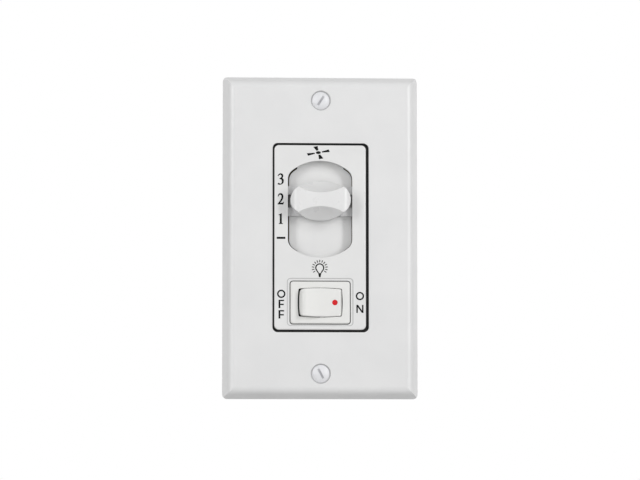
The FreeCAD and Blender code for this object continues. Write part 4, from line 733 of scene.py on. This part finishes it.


# Plate screws: slotted oval-head screws of zinc-plated steel with rolled threads, and
# white enamel on the heads only.
# Grey painted shade in the driver slots of the heads. The bare zinc behind the heads is the shanks' own
# colour.
SLOT_PAINTED_SHADE = (0.5, 0.5, 0.52)
BARE_ZINC = (0.62, 0.63, 0.65)
slot_shade_zones = [zone("Inside", SLOT_PAINTED_SHADE, middle=(0, screw_z), half=(1.9, 1.9), corner=1.9, front=-5.6)
               for screw_z in plate_screw_places]
bare_zone = zone("Inside", BARE_ZINC, middle=(0, 0), half=(60, 60), corner=1, front=-3.5)
screw_enamel = moulded_plastic("screw_enamel", tint=(0.79, 0.79, 0.81), shade=(0.76, 0.765, 0.785),
                               gloss=(0.34, 0.44), grain=1600, relief=0.01 * MM,
                               zones=[*slot_shade_zones, bare_zone])
screw_tree = screw_enamel.node_tree
bare_mask, _, bare_sizes = bare_zone
feed(screw_tree, screw_tree.nodes["Principled BSDF"].inputs["Metallic"],
     place_group(screw_tree, deep_gap, **bare_sizes)[bare_mask])

HEAD_RADIUS, HEAD_HEIGHT, HEAD_PROUD = 3.1, 2.51, 0.33
DOME_RADIUS, HEAD_STEPS = 5.789, 8
HEAD_SLOT_WIDTH, HEAD_SLOT_DEPTH = 0.8, 0.585
PLATE_NECK_RADIUS = 1.7
PLATE_SHANK_RADIUS, PLATE_SHANK_START, PLATE_SHANK_END = 1.35, 2.9, 13.4
PLATE_POINT_RADIUS, PLATE_POINT_END = 1.2, 13.9
PLATE_CREST, PLATE_THREAD = 1.7, (3.3, 13.2)
UPPER_SLOT_TURN, LOWER_SLOT_TURN = 57, 118
dome_turns = [math.asin(HEAD_RADIUS / DOME_RADIUS) * step / HEAD_STEPS for step in range(1, HEAD_STEPS + 1)]
oval_rings = [(DOME_RADIUS * (1 - math.cos(turn)), DOME_RADIUS * math.sin(turn)) for turn in dome_turns]
oval_rings += [(HEAD_HEIGHT, PLATE_NECK_RADIUS), (PLATE_SHANK_START, PLATE_SHANK_RADIUS),
               (PLATE_SHANK_END, PLATE_SHANK_RADIUS), (PLATE_POINT_END, PLATE_POINT_RADIUS)]
head_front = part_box("wall_plate")[0].y / MM - HEAD_PROUD
upper_oval = turn_blank(oval_rings)
upper_plate_thread = roll_thread(PLATE_CREST, *PLATE_THREAD)
lower_oval, lower_plate_thread = copy_piece(upper_oval), copy_piece(upper_plate_thread)
cut_slot(upper_oval, HEAD_SLOT_WIDTH, HEAD_SLOT_DEPTH, UPPER_SLOT_TURN)
cut_slot(lower_oval, HEAD_SLOT_WIDTH, HEAD_SLOT_DEPTH, LOWER_SLOT_TURN)
join_screws("threaded_plate_screws", [
    (upper_oval, upper_plate_thread, (0, head_front, plate_screw_places[0])),
    (lower_oval, lower_plate_thread, (0, head_front, plate_screw_places[1])),
], screw_enamel, "plate_screws")


# Floor: a plain table covered with pale studio paper, well below the switch, which hangs
# as on a wall. A little light of its own, seen but not cast, keeps the paper pale.
FLOOR_SIZE = 3.0
FLOOR_Z = -0.12
FLOOR_LIFT = 0.16


def seen_rays(tree):
    rays = tree.nodes.new("ShaderNodeLightPath").outputs
    direct = add_math(tree, "MAXIMUM", rays["Is Camera Ray"], rays["Is Glossy Ray"])
    return add_math(tree, "MAXIMUM", direct, rays["Is Transmission Ray"])


bpy.ops.object.select_all(action="DESELECT")
bpy.ops.mesh.primitive_plane_add(size=FLOOR_SIZE, location=(0, 0, FLOOR_Z))
floor = bpy.context.active_object
floor.name = "studio_floor"
bpy.ops.object.transform_apply(location=True)
floor_paper, floor_tree, floor_surface = start_material("floor_paper")
lay_colour(floor_tree, floor_surface, add_noise(floor_tree, object_coords(floor_tree), scale=30, detail=3),
           spread=(0.3, 0.7), tint=(0.86, 0.86, 0.86), shade=(0.83, 0.83, 0.83))
feed(floor_tree, floor_surface["Roughness"], 0.8)
feed(floor_tree, floor_surface["Emission Color"], (1, 1, 1))
feed(floor_tree, floor_surface["Emission Strength"],
     add_math(floor_tree, "MULTIPLY", seen_rays(floor_tree), FLOOR_LIFT))
floor.data.materials.append(floor_paper)


# Studio light: an even surround that is white where it is seen and softer where it only
# lights, and two tall soft panels in front, at the left and at the right.
AMBIENT = 0.38
world = bpy.data.worlds.new("studio")
bpy.context.scene.world = world
world.use_nodes = True
world_tree = world.node_tree
surround = world_tree.nodes["Background"].inputs
feed(world_tree, surround["Color"], (1, 1, 1))
feed(world_tree, surround["Strength"], add_range(world_tree, seen_rays(world_tree), 0, 1, start=AMBIENT))

PANELS = {
    "left_panel": ((-0.9, -0.9, 0.4), (0.35, 0.8), 5.9),
    "right_panel": ((0.9, -0.9, 0.4), (0.25, 0.8), 7.5),
}
for name, (place, size, power) in PANELS.items():
    lamp = bpy.data.lights.new(name, "AREA")
    lamp.shape = "RECTANGLE"
    lamp.size, lamp.size_y = size
    lamp.energy = power
    panel = bpy.data.objects.new(name, lamp)
    bpy.context.scene.collection.objects.link(panel)
    panel.location = place
    panel.rotation_euler = (-Vector(place)).to_track_quat("-Z", "Y").to_euler()
    panel.visible_camera = False


# Camera: a long lens a metre away, a little below and to the left of the plate's middle,
# framed as in the photograph. Colours are shown as they are written.
DISTANCE = 1.0
AZIMUTH, ELEVATION = math.radians(-3), math.radians(-4.5)
VIEW_WIDTH = 0.226
SENSOR = 36
TARGET_X, TARGET_Z = -0.32 * MM, -1.25 * MM
target = Vector((TARGET_X, cad_box[0][1] / 2, TARGET_Z))
lens = bpy.data.cameras.new("photo_camera")
lens.sensor_width = SENSOR
lens.lens = SENSOR * DISTANCE / VIEW_WIDTH
camera = bpy.data.objects.new("photo_camera", lens)
bpy.context.scene.collection.objects.link(camera)
away = Vector((math.sin(AZIMUTH) * math.cos(ELEVATION), -math.cos(AZIMUTH) * math.cos(ELEVATION),
               math.sin(ELEVATION)))
camera.location = target + away * DISTANCE
camera.rotation_euler = (-away).to_track_quat("-Z", "Y").to_euler()
bpy.context.scene.camera = camera
bpy.context.scene.view_settings.view_transform = "Standard"
